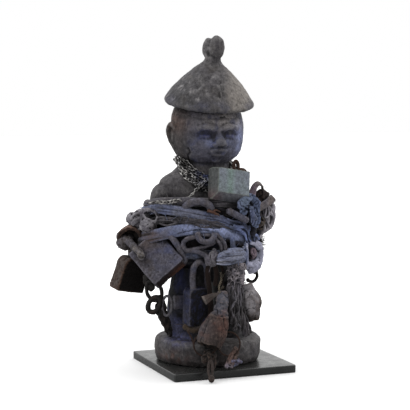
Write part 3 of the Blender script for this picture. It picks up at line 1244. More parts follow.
def lock_body(name, look):
    """A sheet-iron case with worn edges, dents and rust pits, and a keyhole cover behind."""
    lock = LOCKS[name]
    ob = fused(f"{name}_padlock_case", rounded_block(**lock, bevel=1.1), look, f"{name}_padlock_body",
               voxel=0.84)
    basis = box_basis(lock["up"], lock["face"])

    def worked(v, n):
        x, y, z = ((v - lock["centre"]) @ basis.T).T
        flat = np.abs((n @ basis.T)[:, 2]) > 0.7
        cover = 0.8 * step_up(6.2 - np.hypot(x, (y + 4) * 0.8), 0, 0.5) * (z < 0) * flat
        dents = 0.55 * noise(v, 15, 2) + 0.3 * rough_noise(v, 5, 3) + 0.16 * noise(v, 1.6, 8)
        return cover + dents - 0.7 * step_up(rough_noise(v, 3.1, 12), 0.45, 0.85)

    return ruffle(ob, worked), basis


def iron_grain(seed, amount=0.07):
    """The pitted, uneven skin of rusted bar iron."""

    def shape(s, a, total):
        spot = bar_skin(s, a, 3)
        return 1 + amount * rough_noise(spot, 4, seed) + 0.6 * amount * noise(spot, 1.2, seed + 5)

    return shape


def big_lock():
    ob, basis = lock_body("big", "iron")

    def side_strip(v, n):
        return 0.9 * step_up(np.abs(n @ basis[2]), 0.75, 0.4) * step_up(noise(v, 5, 4), -1.3, -0.5)

    orange = lambda v, n: 0.9 * near(v, at(-37, 44, 113), (11, 14, 9)) * side_strip(v, n)
    tinted(ob, stains("3b3330", 0.6, 12, 31, 0.05, 0.5),
           dab("3c4570", 0.5, at(-42, 50, 136), (22, 20, 20), 6, 1, -0.6, 0.4),
           stains("5d5b67", 0.45, 4.5, 6, 0.15, 0.6), ("221816", side_strip), ("7d513c", orange),
           dab("45372f", 0.7, at(-73, 44, 140), (12, 14, 10)), patch=14)


def left_lock():
    ob, basis = lock_body("left", "rust")
    dark = lambda v, n: 0.95 * step_up(n @ LOCKS["left"]["face"], 0.2, 0.6)
    pale = lambda v, n: (0.8 * step_up(n @ LOCKS["left"]["face"], 0.3, -0.2)
                         * step_up(noise(v, 6, 5), -1.0, 0.1))
    rim = lambda v, n: 0.6 * step_up(-(((v - LOCKS["left"]["centre"]) @ basis.T)[:, 1] + 17.4), 0, 0.9)
    tinted(ob, ("55504e", pale), dab("5c4a42", 0.6, at(-104, 14, 90), (8, 14, 9)), ("0f0c0c", dark),
           ("6b655f", rim), patch=8)


def front_lock():
    ob, _ = lock_body("front", "iron")
    dark = lambda v, n: 0.9 * step_up(n @ LOCKS["front"]["face"], 0.3, 0.8)
    blue = lambda v, n: 0.85 * step_up(n @ LOCKS["front"]["face"], 0.5, 0.1)
    tinted(ob, ("2f3042", blue), ("131217", dark), stains("1c1a20", 0.5, 4, 9, 0, 0.4),
           stains("2f3352", 0.7, 4, 14, 0.05, 0.5), stains("3c4166", 0.6, 1.6, 15, 0.25, 0.6), patch=8,
           edge=0.35)


def back_lock():
    ob, _ = lock_body("back", "iron")
    tinted(ob, patches("392c28", 0.7, 8, 3, 0, 0.5))


def chest_lock():
    """Its front is set up and to one side of its back."""
    width, height, depth = 42, 35, 18
    bevels = {"left": 3.8, "right": 1.2, "bottom": 7.2, "top": 1.2}
    basis = box_basis(towards(0.04, -0.3, 1), towards(0.43, 0.85, 0.28))
    rows = []
    for share, z in ((0, -1), (0, 0), (1, 1)):
        left, right = -width / 2 + share * bevels["left"], width / 2 - share * bevels["right"]
        low, high = -height / 2 + share * bevels["bottom"], height / 2 - share * bevels["top"]
        rows += [(right, low, z * depth / 2), (right, high, z * depth / 2), (left, high, z * depth / 2),
                 (left, low, z * depth / 2)]
    block = (np.array(rows) @ basis + at(18, 44, 202.8), ring_faces(3, 4, False))
    ob = fused("chest_padlock_case", block, "brass", "chest_padlock_body", voxel=0.74)
    ruffle(ob, lambda v, n: (0.14 * rough_noise(v, 6, 2) + 0.06 * noise(v, 1.4, 3)
                             - 0.3 * step_up(rough_noise(v, 2.2, 5), 0.65, 0.9)))
    front = lambda v, n: step_up(n @ basis[2], 0.85, 0.96)
    shade = lambda v, n: 0.9 * (1 - front(v, n))
    under = lambda v, n: 0.9 * step_up(-(n @ basis[1]), 0.2, 0.6)
    stripe = lambda v, n: (0.65 * front(v, n)
                           * np.exp(-((((v - at(19, 44, 206)) @ basis[0] + 3.5) / 4.5) ** 2)))
    green = lambda v, n: 0.4 * front(v, n) * step_up(noise(v * (1, 1, 0.5), 9, 4), -0.4, 0.5)
    tinted(ob, ("787e88", lambda v, n: 0.97 * front(v, n)), ("404243", shade), ("6d7b78", green),
           ("72897e", stripe), ("65666d", under), dab("50393a", 0.8, at(1, 52, 192), (8, 14, 7)),
           dab("27252c", 0.7, at(20, 50, 187), (22, 14, 3.4)), patch=9, edge=0.4)


def irons():
    """Shackles, links, pegs and rings of bar iron."""
    rows = [("chest_padlock_shackle", "rust",
             [(23.2, 36, 219), (23, 35, 225.5), (25.1, 34, 228.4), (27.2, 33, 225.5), (27.4, 34, 218.5)], 4,
             4),
            ("top_shackle", "iron",
             [(-30.5, 53.5, 178.5), (-26.5, 55, 183), (-18.5, 56, 186.3), (-11, 56, 186.3),
              (-4.5, 55.5, 183.2), (-0.5, 54, 176.5)], 8.6, 8),
            ("iron_peg", "iron", [(14.5, 50, 177.5), (27, 49, 171.2), (38.5, 45, 164.6)], 7.6, 7.2),
            ("big_padlock_shackle", "iron",
             [(-37, 50, 120), (-29.5, 53, 124), (-33, 56, 134), (-38, 56.5, 142), (-44, 54, 149),
              (-52, 49, 150)], 7.2, 7),
            ("round_link", "iron",
             [(-16, 60, 155), (-14.5, 62, 148.5), (-10, 63, 145), (-3, 63, 145), (1, 62, 148.5),
              (2.5, 60, 154)], 7, 6),
            ("front_padlock_shackle", "iron",
             [(-20.5, 54.5, 92), (-21, 55.5, 108), (-19, 57, 118), (-13.5, 56.5, 123), (-8, 53, 120),
              (-5.5, 48, 110), (-5.5, 43.5, 92)], 6.6, 6.4),
            ("black_hook", "black_iron",
             [(46.8, 22, 110), (48.6, 22, 102.5), (44.2, 23.5, 97), (38.2, 26, 98.5)], 3.4, 3.4)]
    for seed, (name, look, places, width, depth) in enumerate(rows):
        form = sweep(path(places), width, depth, sides=20, step=0.6, shape=iron_grain(seed),
                     blunt=1.0 if name == "iron_peg" else 0.6)
        if name == "chest_padlock_shackle":
            form = together(form, ball(at(31, 33, 218.5), (4.2, 3, 2.6), seed=3, rough=0.2),
                            sweep(path(((29, 34, 220), (34, 31, 219), (37.5, 29, 214))), 3))
        if name == "black_hook":
            form = together(form, ball(at(46.6, 22, 108.5), (3.2, 2.6, 3.4), seed=4, rough=0.2),
                            ball(at(38.4, 26, 98.8), (2.2, 2, 2.2), seed=5, rough=0.2))
        ob = piece(f"{name}_bar", form, look, name)
        worn = patches("544a48", 0.6, 5, 3, 0, 0.6)
        blue = patches("353a55", 0.5, 7, 8, 0.05, 0.5)
        tinted(ob, *(() if look != "iron" else (worn, blue)), seed=seed, patch=6)


# Cloth that is knotted, wadded or rolled
def loops_round(centre, radii, count, width, seed, tilt=0.5):
    """Strips that pass round a knot, each in its own plane."""
    pick = np.random.default_rng(seed)
    forms = []
    for k in range(count):
        pole = unit(pick.normal(size=3) + np.array([0, 0, tilt]))
        first = unit(np.cross(pole, [0.3, 0.5, 0.8]))
        second = np.cross(pole, first)
        t = np.arange(14) / 14 * 2 * math.pi
        off = pick.uniform(-0.45, 0.45)
        circle = np.cos(t)[:, None] * first + np.sin(t)[:, None] * second
        circle = circle * math.sqrt(1 - off * off) + off * pole
        places = centre + turned(circle * np.array(radii) * 1.02, (0, 0, 0))
        own = width * pick.uniform(0.8, 1.3)
        fold = pleats(own, 1, 0.2, seed + k, square=2.1)
        facing = lambda line: unit(line - centre)
        forms.append(sweep(places, own, own * 0.7, closed=True, facing=facing, shape=fold))
    return forms


def crumpled(size, depth, seed, squash=(1, 1, 1)):
    """Folds of wadded cloth."""
    squash = np.array(squash, float)

    def amount(v, n):
        bent = v * squash + 1.5 * np.stack([noise(v, size * 1.6, seed + k) for k in (21, 22, 23)], 1)
        large, small = ridges(bent, size, seed) - 0.5, ridges(bent, size * 0.45, seed + 3) - 0.5
        return depth * large + 0.35 * depth * small

    return amount


def cloth_lump(node, look, forms, size, depth, seed, spots, voxel=0.75, soft=1, patch=9, name=None):
    """A knot or wad of cloth, one skin over its forms."""
    ob = fused(name or f"{node}_cloth", together(*forms), look, node, voxel=voxel, soft=soft)
    ruffle(ob, crumpled(size, depth, seed))
    tinted(ob, *spots, seed=seed, patch=patch)


def cloth_strip(node, look, places, width, depth, seed, folds=2, deep=0.2, facing=None, fray=14, spots=(),
                scale=None, square=2.3, extra=()):
    """A gathered strip of cloth with frayed edges."""
    line = path(places)
    fold = pleats(width, folds, deep, seed, square=square)
    shape = fold if scale is None else (lambda s, a, total: fold(s, a, total) * scale(s / total))
    forms = [sweep(line, width, depth, sides=32, step=0.7, facing=facing, shape=shape, blunt=0.6)]
    middle, _, _ = even(smooth_line(line), 1.5)
    _, normal, _ = frames_along(middle, facing, False)
    forms += threads(middle, normal, fray, seed, off=min(width, depth) * 0.4)
    dressed(f"{node}_strip", [*forms, *extra], look, node, *spots, seed=seed, patch=9)


DARK_RUST = patches("1b1412", 0.7, 5, 4, -0.3, 0.5)


def hooked_shackle():
    """The left padlock's shackle, with the hook and the ring that hang on it."""
    hook = ((-91, 30, 142.2), (-85, 43, 138.5), (-79.5, 53, 134.5), (-75.5, 57.5, 130.5), (-73.5, 58, 127))
    forms = [
        ball(at(-96, 22, 139.5), (8.6, 7.6, 9), seed=31, rough=0.14),
        ball(at(-98.5, 20, 146), (6.4, 6.6, 6), seed=32, rough=0.14),
        ball(at(-91, 26, 143), (7, 7, 6), seed=33, rough=0.14),
        sweep(path(hook), 8.4, 8, sides=28, step=0.8,
              shape=lambda s, a, total: (1.05 - 0.25 * s / total) * iron_grain(5, 0.12)(s, a, total)),
        ring(at(-75.5, 58.5, 129.5), towards(0.5, 0, -0.8), towards(0.8, 0.3, 0.5), 10.5, 9, 3.2, sides=14,
             step=0.6),
        sweep(path(((-88, 12, 120), (-88.5, 15, 128), (-88, 20, 136))), 8, 8, sides=24, step=0.8,
              shape=iron_grain(6, 0.1))]
    ob = fused("left_padlock_shackle_bar", together(*forms), "iron", "left_padlock_shackle", voxel=0.8,
               soft=1)
    ruffle(ob, lambda v, n: (0.7 * rough_noise(v, 4.5, 6) + 0.25 * noise(v, 1.6, 4)
                             - 0.6 * step_up(noise(v, 2.6, 9), 0.35, 0.8)))
    tinted(ob, patches("6a635d", 0.85, 9, 2, -0.8, 0.2), dab("5a514c", 0.5, at(-97, 26, 142), (9, 9, 9)),
           DARK_RUST, seed=3, patch=6)


def rust_bracket():
    middle = at(-88, 24, 143)
    forms = [
        sweep(path(((-99, 19, 143.5), (-98.5, 22, 150), (-93, 25, 155), (-85.5, 28, 157), (-78, 30, 154),
                    (-74, 31, 147.5))), 15, 5.4, sides=32, step=0.8, shape=pleats(17, 3, 0.16, 8, square=4),
              facing=lambda line: unit(line - middle), blunt=0.3),
        sweep(path(((-84, 16, 158), (-80, 18, 146), (-76, 22, 134))), 15, 6, sides=28, step=0.8, facing=OUT,
              shape=pleats(15, 2, 0.15, 9, square=4), blunt=0.3),
        ball(at(-87, 18, 148), (11.5, 8, 9), seed=21, rough=0.15),
        ball(at(-79, 24, 147), (7, 7, 8), seed=22, rough=0.15)]
    ob = fused("rust_bracket_plate", together(*forms), "rust", "rust_bracket", voxel=0.7, soft=1)
    ruffle(ob, lambda v, n: 0.9 * rough_noise(v, 5, 3) + 0.5 * step_up(noise(v, 2.6, 6), 0.4, 0.8))
    tinted(ob, ("927a70", lambda v, n: 0.9 * step_up(n[:, 2], 0.0, 0.7) * step_up(noise(v, 5, 9), -0.7, 0.3)),
           DARK_RUST, dab("0b0807", 1.1, at(-84, 24, 146), (12, 16, 9)), patch=5, edge=0.4)


def grey_cloth_knot():
    """A knot of cloth with an eye."""
    knots = (((-87, 26, 164.5), (5.2, 6, 7.6)), ((-77, 34, 165.5), (9.6, 8.4, 10.6)),
             ((-68.5, 43, 159.5), (8.2, 6, 7)))
    forms = []
    for k, (place, radii) in enumerate(knots):
        forms.append(ball(at(*place), np.array(radii) * 0.86, rough=0.16, seed=k))
        forms += loops_round(at(*place), radii, 8, 3.3, 30 + k)
    eye = [(-74.5, 38, 174.5), (-67, 42, 176.5), (-60.5, 45, 174.5), (-58, 46, 169), (-61, 46.5, 164.5),
           (-68, 45.5, 166.5), (-73, 42, 169)]
    middle = at(-66.5, 44, 170.5)
    for k, (grow, lift) in enumerate(((0.9, 1.4), (1.05, 0), (1.2, -1))):
        route = [middle + (at(*p) - middle) * grow + at(0, lift, 0) for p in eye]
        forms.append(sweep(route, 2.7, 2.7, step=0.7, closed=True,
                           shape=lambda s, a, total: 1 + 0.18 * np.cos(2 * a - s)))
    cloth_lump("grey_cloth_knot", "grey_cloth", forms, voxel=0.7, size=3.2, depth=0.7, seed=3,
               spots=[patches("a6a3a9", 0.75, 6, 2, -0.5, 0.4),
                      dab("2f201c", 0.7, at(-61, 48, 158), (7, 9, 6))])


LINK_GRAIN = iron_grain(11, 0.16)


def black_chain():
    """Two heavy links, and the tail of smaller ones that hangs from them."""
    link = [(-69, 48, 99), (-70.5, 47.5, 93), (-69.5, 46.5, 86.5), (-66.5, 46, 82), (-61, 45.5, 79.2),
            (-56, 45, 81), (-54.2, 46, 85), (-54.6, 47, 91), (-57.5, 47, 97), (-63, 48, 101)]
    forms = [sweep(path(link), 4.2, 4.2, sides=16, step=0.6, closed=True, shape=LINK_GRAIN),
             ball(at(-66, 46.5, 95), (4.6, 3.6, 5.4), seed=8, rough=0.2),
             ball(at(-69.5, 43, 102.5), (5.5, 4, 6), seed=9, rough=0.2)]
    dressed("black_link_upper_iron", forms, "black_iron", "black_link_upper", patch=4, seed=4, edge=0.1)
    long, short = towards(0.5, 0.1, 0.86), towards(0.86, 0.1, -0.5)
    forms = [ring(at(-62.5, 46, 75), long, short, 22.8, 17, 5.4, sides=18, step=0.6, shape=LINK_GRAIN),
             ring(at(-61.8, 43, 74), long, short, 22, 16.8, 4.4, sides=16, step=0.6, shape=LINK_GRAIN)]
    dressed("black_link_lower_iron", forms, "black_iron", "black_link_lower",
            patches("2d1c14", 0.6, 4, 3, 0.2, 0.7), patch=4, seed=5, edge=0.1)
    tails = (((-56.5, 43, 80), (-54.8, 43, 73), (-52.5, 42, 64), (-49, 38, 53), (-46.8, 32, 42)),
             ((-58.5, 42, 71), (-57.5, 42, 66), (-54.5, 40, 58), (-50, 35, 49)),
             ((-54, 40, 76), (-52.5, 40, 70), (-50.5, 39, 62), (-47.5, 36, 53)))
    forms = [chain(smooth_line(path(places)), pitch=4.8, length=11, width=9.4, wire=4.2, sides=10,
                   turn=len(places), loose=0.6) for places in tails]
    dressed("black_chain_tail_links", forms, "black_iron", "black_chain_tail",
            patches("3a2014", 0.4, 3, 5, 0.4, 0.8), patch=4, seed=6, edge=0.12)


def eye_bolt():
    forms = [ring(at(-48.9, 44, 73.6), towards(0.03, 0, 1), towards(0.99, -0.12, 0), 24, 13.4, 3.1,
                  sides=18, step=0.6, shape=LINK_GRAIN),
             sweep(path(((-43, 41.5, 77), (-34, 39, 77), (-25, 38, 76.5))), 15, 6, sides=28, step=0.7,
                   facing=OUT, shape=iron_grain(13, 0.1), blunt=0.5)]
    dressed("eye_bolt_iron", forms, "iron", "eye_bolt",
            ("6e6b6f", lambda v, n: 0.7 * step_up(-((v - at(-38, 42, 75)) @ towards(1, 0, 0)), 0, 5)),
            ("2e3148", lambda v, n: 0.7 * step_up((v - at(-38, 42, 75)) @ towards(1, 0, 0), 0, 6)), patch=5,
            seed=7)


def rust_clasp():
    torn = lambda s, a, total: (1.15 - 0.45 * s / total) * iron_grain(2, 0.4)(s, a, total)
    prongs = ((((-5.5, 58.6, 177.4), (-1, 60, 176.2), (3, 60, 174.6), (7, 58.6, 173.4)), 4),
              (((1, 59.4, 177), (4.4, 59.4, 177.6), (8.5, 57.4, 175.6)), 2.8),
              (((2, 60, 174), (5.5, 60.4, 173), (7.5, 58, 171.4)), 2.6))
    forms = [sweep(path(places), width, width * 0.7, sides=16, step=0.5, shape=torn, blunt=0.6)
             for places, width in prongs]
    dressed("rust_clasp_iron", forms, "rust", "rust_clasp",
            dab("64453a", 0.9, at(0, 60, 175.5), (6, 4, 3)), seed=2, patch=4, edge=0.3)


def centre_link():
    link = ((-31, 58, 142), (-27, 58.5, 147), (-16.5, 58, 149.5), (-4.5, 57, 150.5), (1.5, 57, 148.5),
            (2.5, 57.5, 144.5), (-6, 58.5, 140), (-17.5, 59, 136.5), (-28, 58.5, 135.5))
    second = ((-24, 54, 133), (-15, 57, 134), (-7, 58.5, 131.5), (-3, 58, 126))
    forms = [sweep(path(link), 5.2, 5, sides=20, step=0.6, closed=True, shape=iron_grain(3, 0.1)),
             sweep(path(second), 4.4, sides=16, step=0.6, shape=iron_grain(4, 0.12))]
    dressed("centre_link_bar", forms, "iron", "centre_link",
            patches("5b5459", 0.55, 5, 3, -0.2, 0.5), seed=3, patch=6)


def curved_clasp():
    line = smooth_line(path(((1, 59.5, 151.5), (6, 60, 148), (10.5, 59.5, 142), (12, 58.5, 133))))
    _, _, side = frames_along(line, towards(0.1, 1, 0.1), False)
    forms = [sweep(line + off * side, 4.0, 4.2, sides=16, step=0.6, curved=False, shape=iron_grain(k, 0.12))
             for k, off in enumerate((-2.1, 2.1))]
    dressed("curved_clasp_bars", forms, "iron", "curved_clasp", seed=8)


def front_ties():
    """The upright tie, and the strip that is knotted over the front padlock."""
    cloth_strip("cloth_tie", "blue_cloth", [(21, 52, 149), (21.5, 54, 141), (21, 54.5, 133)], 5.4, 3.6,
                fray=6, facing=OUT, seed=4)
    knotted = lambda t: 0.9 + 0.3 * np.exp(-(((t - 0.62) / 0.06) ** 2))
    ends = ((((2.5, 60, 137.5), (0.5, 63, 131), (0.5, 64, 125), (2.5, 61.5, 118.5)), 4.6),
            (((-7, 60, 131.5), (-6, 62, 124), (-5, 60, 119)), 3.8),
            (((5, 60, 134), (2, 64, 128), (5, 61, 121)), 3.4))
    ends = gathered(ends, flat=0.8, sides=22, step=0.7, folds=2, deep=0.25, seed=51, square=2.1,
                    facing=towards(0.1, 1, 0))
    ends += loops_round(at(0.5, 62, 127), (4.4, 4, 7), 5, 2.4, 54)
    places = ((-33, 54, 131.5), (-25, 57, 134), (-16.5, 60.5, 134), (-9, 62, 131), (-4.5, 62, 127),
              (-2, 62, 121), (0, 61.5, 120.5), (3, 61, 126.5), (4.5, 61, 132))
    cloth_strip("tied_strip", "grey_cloth", places, 5.6, 5, scale=knotted, seed=5, fray=30, extra=ends,
                spots=[dab("3b4058", 0.5, at(-22, 57, 132), (14, 14, 9))])


def front_packet():
    """A stuffed packet bound with cord at its neck, open and dark at its foot."""
    route = path(((11.5, 64, 93), (9.8, 68, 77.5), (4.4, 69.5, 59.5), (-1.4, 70.3, 44), (-4.6, 73.8, 34.2)))
    half = np.array([4.6, 5.6, 6.8, 9.4, 12.2, 14.0, 14.6, 13.6, 12.4])
    marks = np.array([0, 0.17, 0.34, 0.44, 0.545, 0.68, 0.855, 0.96, 1])
    girth = lambda s, a, total: (np.interp(s / total, marks, half)
                                 * (1 + 0.05 * np.cos(2 * a + 5 * s / total) + 0.03 * np.cos(5 * a + 1)))
    line, run, total = even(smooth_line(route), 1.0)
    way, normal, side = frames_along(line, OUT, False)
    forms = [sweep(line, 2, 2, sides=48, curved=False, facing=OUT, shape=girth, blunt=0.01)]

    def wound(start, stop, turns, thick, lift=0.4):
        t = np.linspace(0, 1, int(turns * 20))
        s = (start + (stop - start) * t) * total
        a = 2 * math.pi * turns * t
        centre, nor, sid = (np.stack([np.interp(s, run, field[:, k]) for k in range(3)], 1)
                            for field in (line, normal, side))
        reach = girth(s, a, total) + lift
        turns_round = centre + nor * (np.cos(a) * reach)[:, None] + sid * (np.sin(a) * reach)[:, None]
        return sweep(turns_round, thick, sides=8, step=0.9)

    forms += [wound(0.03, 0.2, 6, 1.9), wound(0.46, 0.16, 2.4, 2.2, 0), wound(0.3, 0.5, 1.4, 2.4, -0.2)]
    ob = fused("front_packet_skin", together(*forms), "leather", "front_packet", voxel=0.8, soft=1)
    foot, down = line[-1], way[-1]

    def open_foot(v, n):
        away = (v - foot) @ down
        out = np.linalg.norm(v - foot - away[:, None] * down, axis=1)
        deep = step_up(away, -3, 0) * step_up(out, 11.6, 8.8)
        return -down * (7.5 * deep)[:, None]

    shift(ob, open_foot)
    folds = crumpled(8, 1.9, 4, (1, 1, 0.45))
    ruffle(ob, lambda v, n: folds(v, n) + 0.35 * rough_noise(v, 2.4, 8))
    cloth = lambda v, n: (0.85 * step_up((v - line[0]) @ unit(line[-1] - line[0]), 30, 22)
                          * step_up(noise(v, 7, 2), -1, 0))
    red = lambda v, n: 0.7 * near(v, at(12, 76, 56), (9, 14, 11)) + 0.35 * step_up(noise(v, 6, 5), 0.2, 0.6)
    tinted(ob, ("5a5b66", cloth), dab("504e57", 0.55, at(-14, 70, 52), (9, 16, 18)), ("5a3b33", red),
           dab("0e0b0a", 0.95, foot + down * -1 + at(-3, 0, -1), (13, 13, 10)), seed=9, patch=7)


def olive_cloth():
    cloth_strip("olive_cloth", "brown_cloth", [(-31, 50, 53), (-20, 55, 49), (-9, 57, 52)], 9, 7, seed=7,
                folds=3, deep=0.25, spots=[patches("473a2c", 0.7, 6, 3, -0.4, 0.4)])


def packet_flap():
    """A folded flap, dark inside its open end."""
    mouth, apex = at(-9.5, 78, 84), at(7, 72.5, 91.5)
    fold = pleats(10, 2, 0.25, 9, square=1.6)
    leaves = sweep([apex, at(-1, 76, 88.5), mouth], 10.5, 6, sides=36, step=0.6, facing=towards(0.1, 1, 0.2),
                   blunt=0.05, shape=lambda s, a, total: (0.2 + 0.85 * s / total) * fold(s, a, total))
    out = unit(mouth - apex)
    end = lambda v, n: step_up(n @ out, 0.5, 0.9) * step_up((v - mouth) @ out, -1.5, -0.5)
    lip = lambda v, n: 0.8 * near(v, mouth, (5, 8, 7)) * step_up((v - mouth) @ out, -2.6, -1.4)
    seam = lambda v, n: 0.8 * near_line(v, [at(-8, 84, 83), at(5, 77, 89)], 1.2)
    tinted(piece("packet_flap_leaves", leaves, "leather", "packet_flap"),
           patches("46423f", 0.6, 5, 3, -0.4, 0.5), ("78726f", lip),
           ("100d0d", lambda v, n: 0.97 * end(v, n)), ("171312", seam), seed=9, patch=6, edge=0.3)


def packet_wire():
    """Two thin wires twisted together."""
    line = smooth_line(path(((8.5, 58, 112), (9.5, 60, 104), (7, 66, 97), (8, 70, 91))))
    _, normal, side = frames_along(line, None, False)
    turn = np.linspace(0, 9 * math.pi, len(line))[:, None]
    forms = [sweep(line + 0.8 * (normal * np.cos(turn + k) + side * np.sin(turn + k)), 0.9, sides=8, step=0.5,
                   curved=False) for k in (0, math.pi)]
    forms += threads(line, normal, 8, 3, reach=(3, 7), wire=0.5)
    dressed("packet_wire_twist", forms, "brass", "packet_wire", ("6e6252", 0.9),
            patches("2c241f", 0.7, 3, 2, -0.2, 0.5), patch=4, edge=0.2)


def wire_rings():
    rings = (("wire_ring_left", at(-7, 73, 37.5), towards(1, 0.05, 0.1), towards(0, 0, 1), (27, 27)),
             ("wire_ring_right", at(17.5, 70, 37), towards(1, 0.05, 0), towards(0, -0.1, 1), (25, 27)))
    bent = lambda s, a, total: 1 + 0.12 * along(s, 2, 3)
    for node, place, long, short, size in rings:
        forms = [ring(place, long, short, *size, 1.7, step=0.7, shape=bent)]
        if node == "wire_ring_left":
            forms.append(sweep(path(((-27, 62, 50), (-22, 67, 43), (-19.5, 73, 36))), 1.7, sides=10))
        dressed(f"{node}_wire", forms, "rust", node, ("241713", 0.75), patch=4, edge=0.15)


def lower_bundle():
    strips = ((((-5, 64, 29), (-6, 72, 25), (-8, 78, 17)), 9),
              (((-1, 66, 28), (0, 74, 23), (-1, 80, 12)), 9),
              (((-10, 70, 22), (-3, 77, 20), (4, 74, 18)), 6))
    forms = gathered(strips, flat=0.7, sides=30, step=0.8, folds=2, deep=0.3, seed=14, square=2.2,
                     facing=towards(0, 1, 0.3))
    forms += loops_round(at(-4, 73, 22), (7, 6, 6), 3, 3.4, 71)
    cloth_lump("lower_bundle", "brown_cloth", forms, size=4, depth=1.2, seed=8,
               spots=[("1f1512", 0.75), patches("3d2c26", 0.5, 4, 6, 0.2, 0.6)])


def rolled_scraps():
    scraps = (
        ("rolled_scrap_long", "leather", "5d463f", (
            ((25.5, 65, 33), (21, 72, 24.5), (17.5, 78, 16)), ((23.5, 66, 31), (18, 74, 22), (14, 79, 13)),
            ((27, 66, 29), (22.5, 73, 20), (19, 78, 13)))),
        ("rolled_scrap_short", "blue_cloth", "5a5064", (
            ((19, 76, 20), (25, 72, 19.5), (30.5, 67, 17)), ((18, 76, 17), (24, 73, 16), (29, 68, 20)))))
    for node, look, tint, strips in scraps:
        forms = [sweep(path(places), 5.2, 3.6, sides=26, step=0.6,
                       shape=pleats(5, 2, 0.35, 14 + k, square=2.1), blunt=0.4)
                 for k, places in enumerate(strips)]
        cloth_lump(node, look, forms, voxel=0.5, size=3.4, depth=0.9, seed=3, soft=0, patch=4,
                   name=f"{node}_roll",
                   spots=[patches(tint, 0.8, 5, 3, -0.8, 0.3), dab("8a8494", 0.8, at(16, 79, 14), (6, 8, 4)),
                          patches("231a18", 0.7, 3, 7, 0.1, 0.5)])


def tail_pendant():
    forms = [ring(at(-2, 86.5, 13.5), towards(0.02, 0.62, -0.78), towards(1, 0, 0), 22, 7.4, 3.2,
                  sides=16, step=0.6, shape=iron_grain(21, 0.2)),
             ball(at(-1, 94.5, 4.8), (3.2, 3.2, 4.0), rough=0.15)]
    dressed("tail_pendant_leather", forms, "leather", "tail_pendant", ("231b19", 0.75), patch=4,
            seed=4, edge=0.25)


def right_packet():
    v, faces = node_form("right_packet")
    v = v.mean(0) + (v - v.mean(0)) * 1.1 + at(-1.2, 0, -1.6)
    ob = fused("right_packet_skin", (v, faces), "leather", "right_packet", voxel=0.75, soft=3)
    folds = crumpled(11, 1.5, 6)
    ruffle(ob, lambda v, n: 0.7 + folds(v, n) + 0.3 * rough_noise(v, 2.2, 3))
    pale = lambda v, n: 0.85 * step_up(v[:, 2], 58, 74) * step_up(noise(v, 6, 4), -0.9, 0.1)
    under = lambda v, n: 0.9 * step_up(67 - v[:, 2], 0, 6) * step_up(46 - v @ towards(1, 0, 0), 0, 8)
    tinted(ob, ("9e9a9e", pale), stains("352927", 0.4, 8, 41, 0.1, 0.5), ("2c2625", under), patch=7, seed=5)


def strand(name, node, places, width, seed):
    """A hanging strand of loosely laid yarn, a real cord."""
    line = smooth_line(path(places))
    lay = lambda s, a, total: (1 + 0.2 * np.cos(2 * a - 2 * math.pi * s / (3.0 * width))
                               + 0.14 * noise(bar_skin(s / 3, a, 2), 1.3, seed) - 0.1)
    form = sweep(line, width, sides=18, step=0.7, curved=False, shape=lay, blunt=0.5)
    ob = piece(name, form, "grey_cloth", node)
    dark = ("1f1a1a", lambda v, n: (0.85 * step_up(96 - v[:, 2], -4, 22)
                                    * step_up(noise(v, 6, seed), -1.0, 0.2)))
    brown = patches("3b3230", 0.6, 8, seed + 4, -0.3, 0.5)
    pale = STRAND_SHADES[seed % 3]
    tinted(ob, brown, dark, seed=seed, patch=8, edge=0.35, shade=lambda v, n: pale + 0 * v[:, 0])


# How light the strands are in turn
STRAND_SHADES = (1.3, 0.66, 0.85)
# Each knot of the net: its place and size. Each strand: its places and width
NET_KNOTS = ((20, 56, 117, 3.4), (26, 55, 118, 4.0), (32, 50, 116, 3.4), (18.5, 55, 110, 3.6),
             (24.5, 58, 111, 4.2), (31, 54, 109, 3.8), (20, 58, 104, 3.4), (26, 59, 104, 3.8),
             (31, 54, 103, 3.2), (22, 57, 98, 3.4), (28, 56, 98, 3.2))
LONG_STRANDS = (
    (((20, 55, 103), (18.5, 60, 91), (19.5, 63, 78), (22, 62, 64), (24.5, 58.5, 50)), 5.2),
    (((24, 57, 103), (23.5, 61, 88), (25, 62.5, 73), (27.5, 60, 58), (29, 56.5, 46)), 5.0),
    (((28, 55, 102), (28.5, 58, 87), (29.5, 58.5, 72), (31.5, 55.5, 58), (32, 52.5, 47)), 4.8),
    (((18, 54, 101), (17, 59, 92), (17.5, 64, 82), (19.5, 65.5, 70), (20.5, 63, 57)), 3.8),
    (((31, 52, 101), (31.5, 53, 88), (31.5, 52.5, 74), (33.5, 51, 60)), 4.0),
    (((22.5, 58, 101), (21.5, 64, 86), (22.5, 65.5, 70), (25.5, 63, 54)), 3.2),
    (((27, 57, 101), (26.5, 61.5, 84), (28, 61, 67), (29.5, 57, 52)), 3.0),
    (((30, 53, 100), (30.5, 56, 82), (31.5, 55, 67), (33.5, 53, 54)), 2.8),
    (((24, 52, 101), (22, 55, 84), (25, 56, 68), (27, 54, 52)), 3.8),
    (((21, 60, 98), (24.5, 66, 84), (20, 68, 73), (24.5, 66, 61), (22, 62, 50)), 2.4),
    (((26, 60, 99), (21.5, 66.5, 89), (27.5, 65.5, 75), (24.5, 64, 63), (30, 60, 52)), 2.2))
SHORT_STRANDS = (
    (((30, 55, 72), (33, 56, 62), (37, 52, 51), (38.5, 48, 42)), 4.2),
    (((27.5, 58, 73), (30, 58, 62), (32.5, 55, 51), (33.5, 51, 41.5)), 3.8),
    (((31.5, 53, 75), (35.5, 53, 63), (39.5, 49.5, 52), (42, 45.5, 44)), 3.2),
    (((29, 56, 72), (32.5, 57, 59), (35.5, 53.5, 48), (36, 50, 40.5)), 3.0))


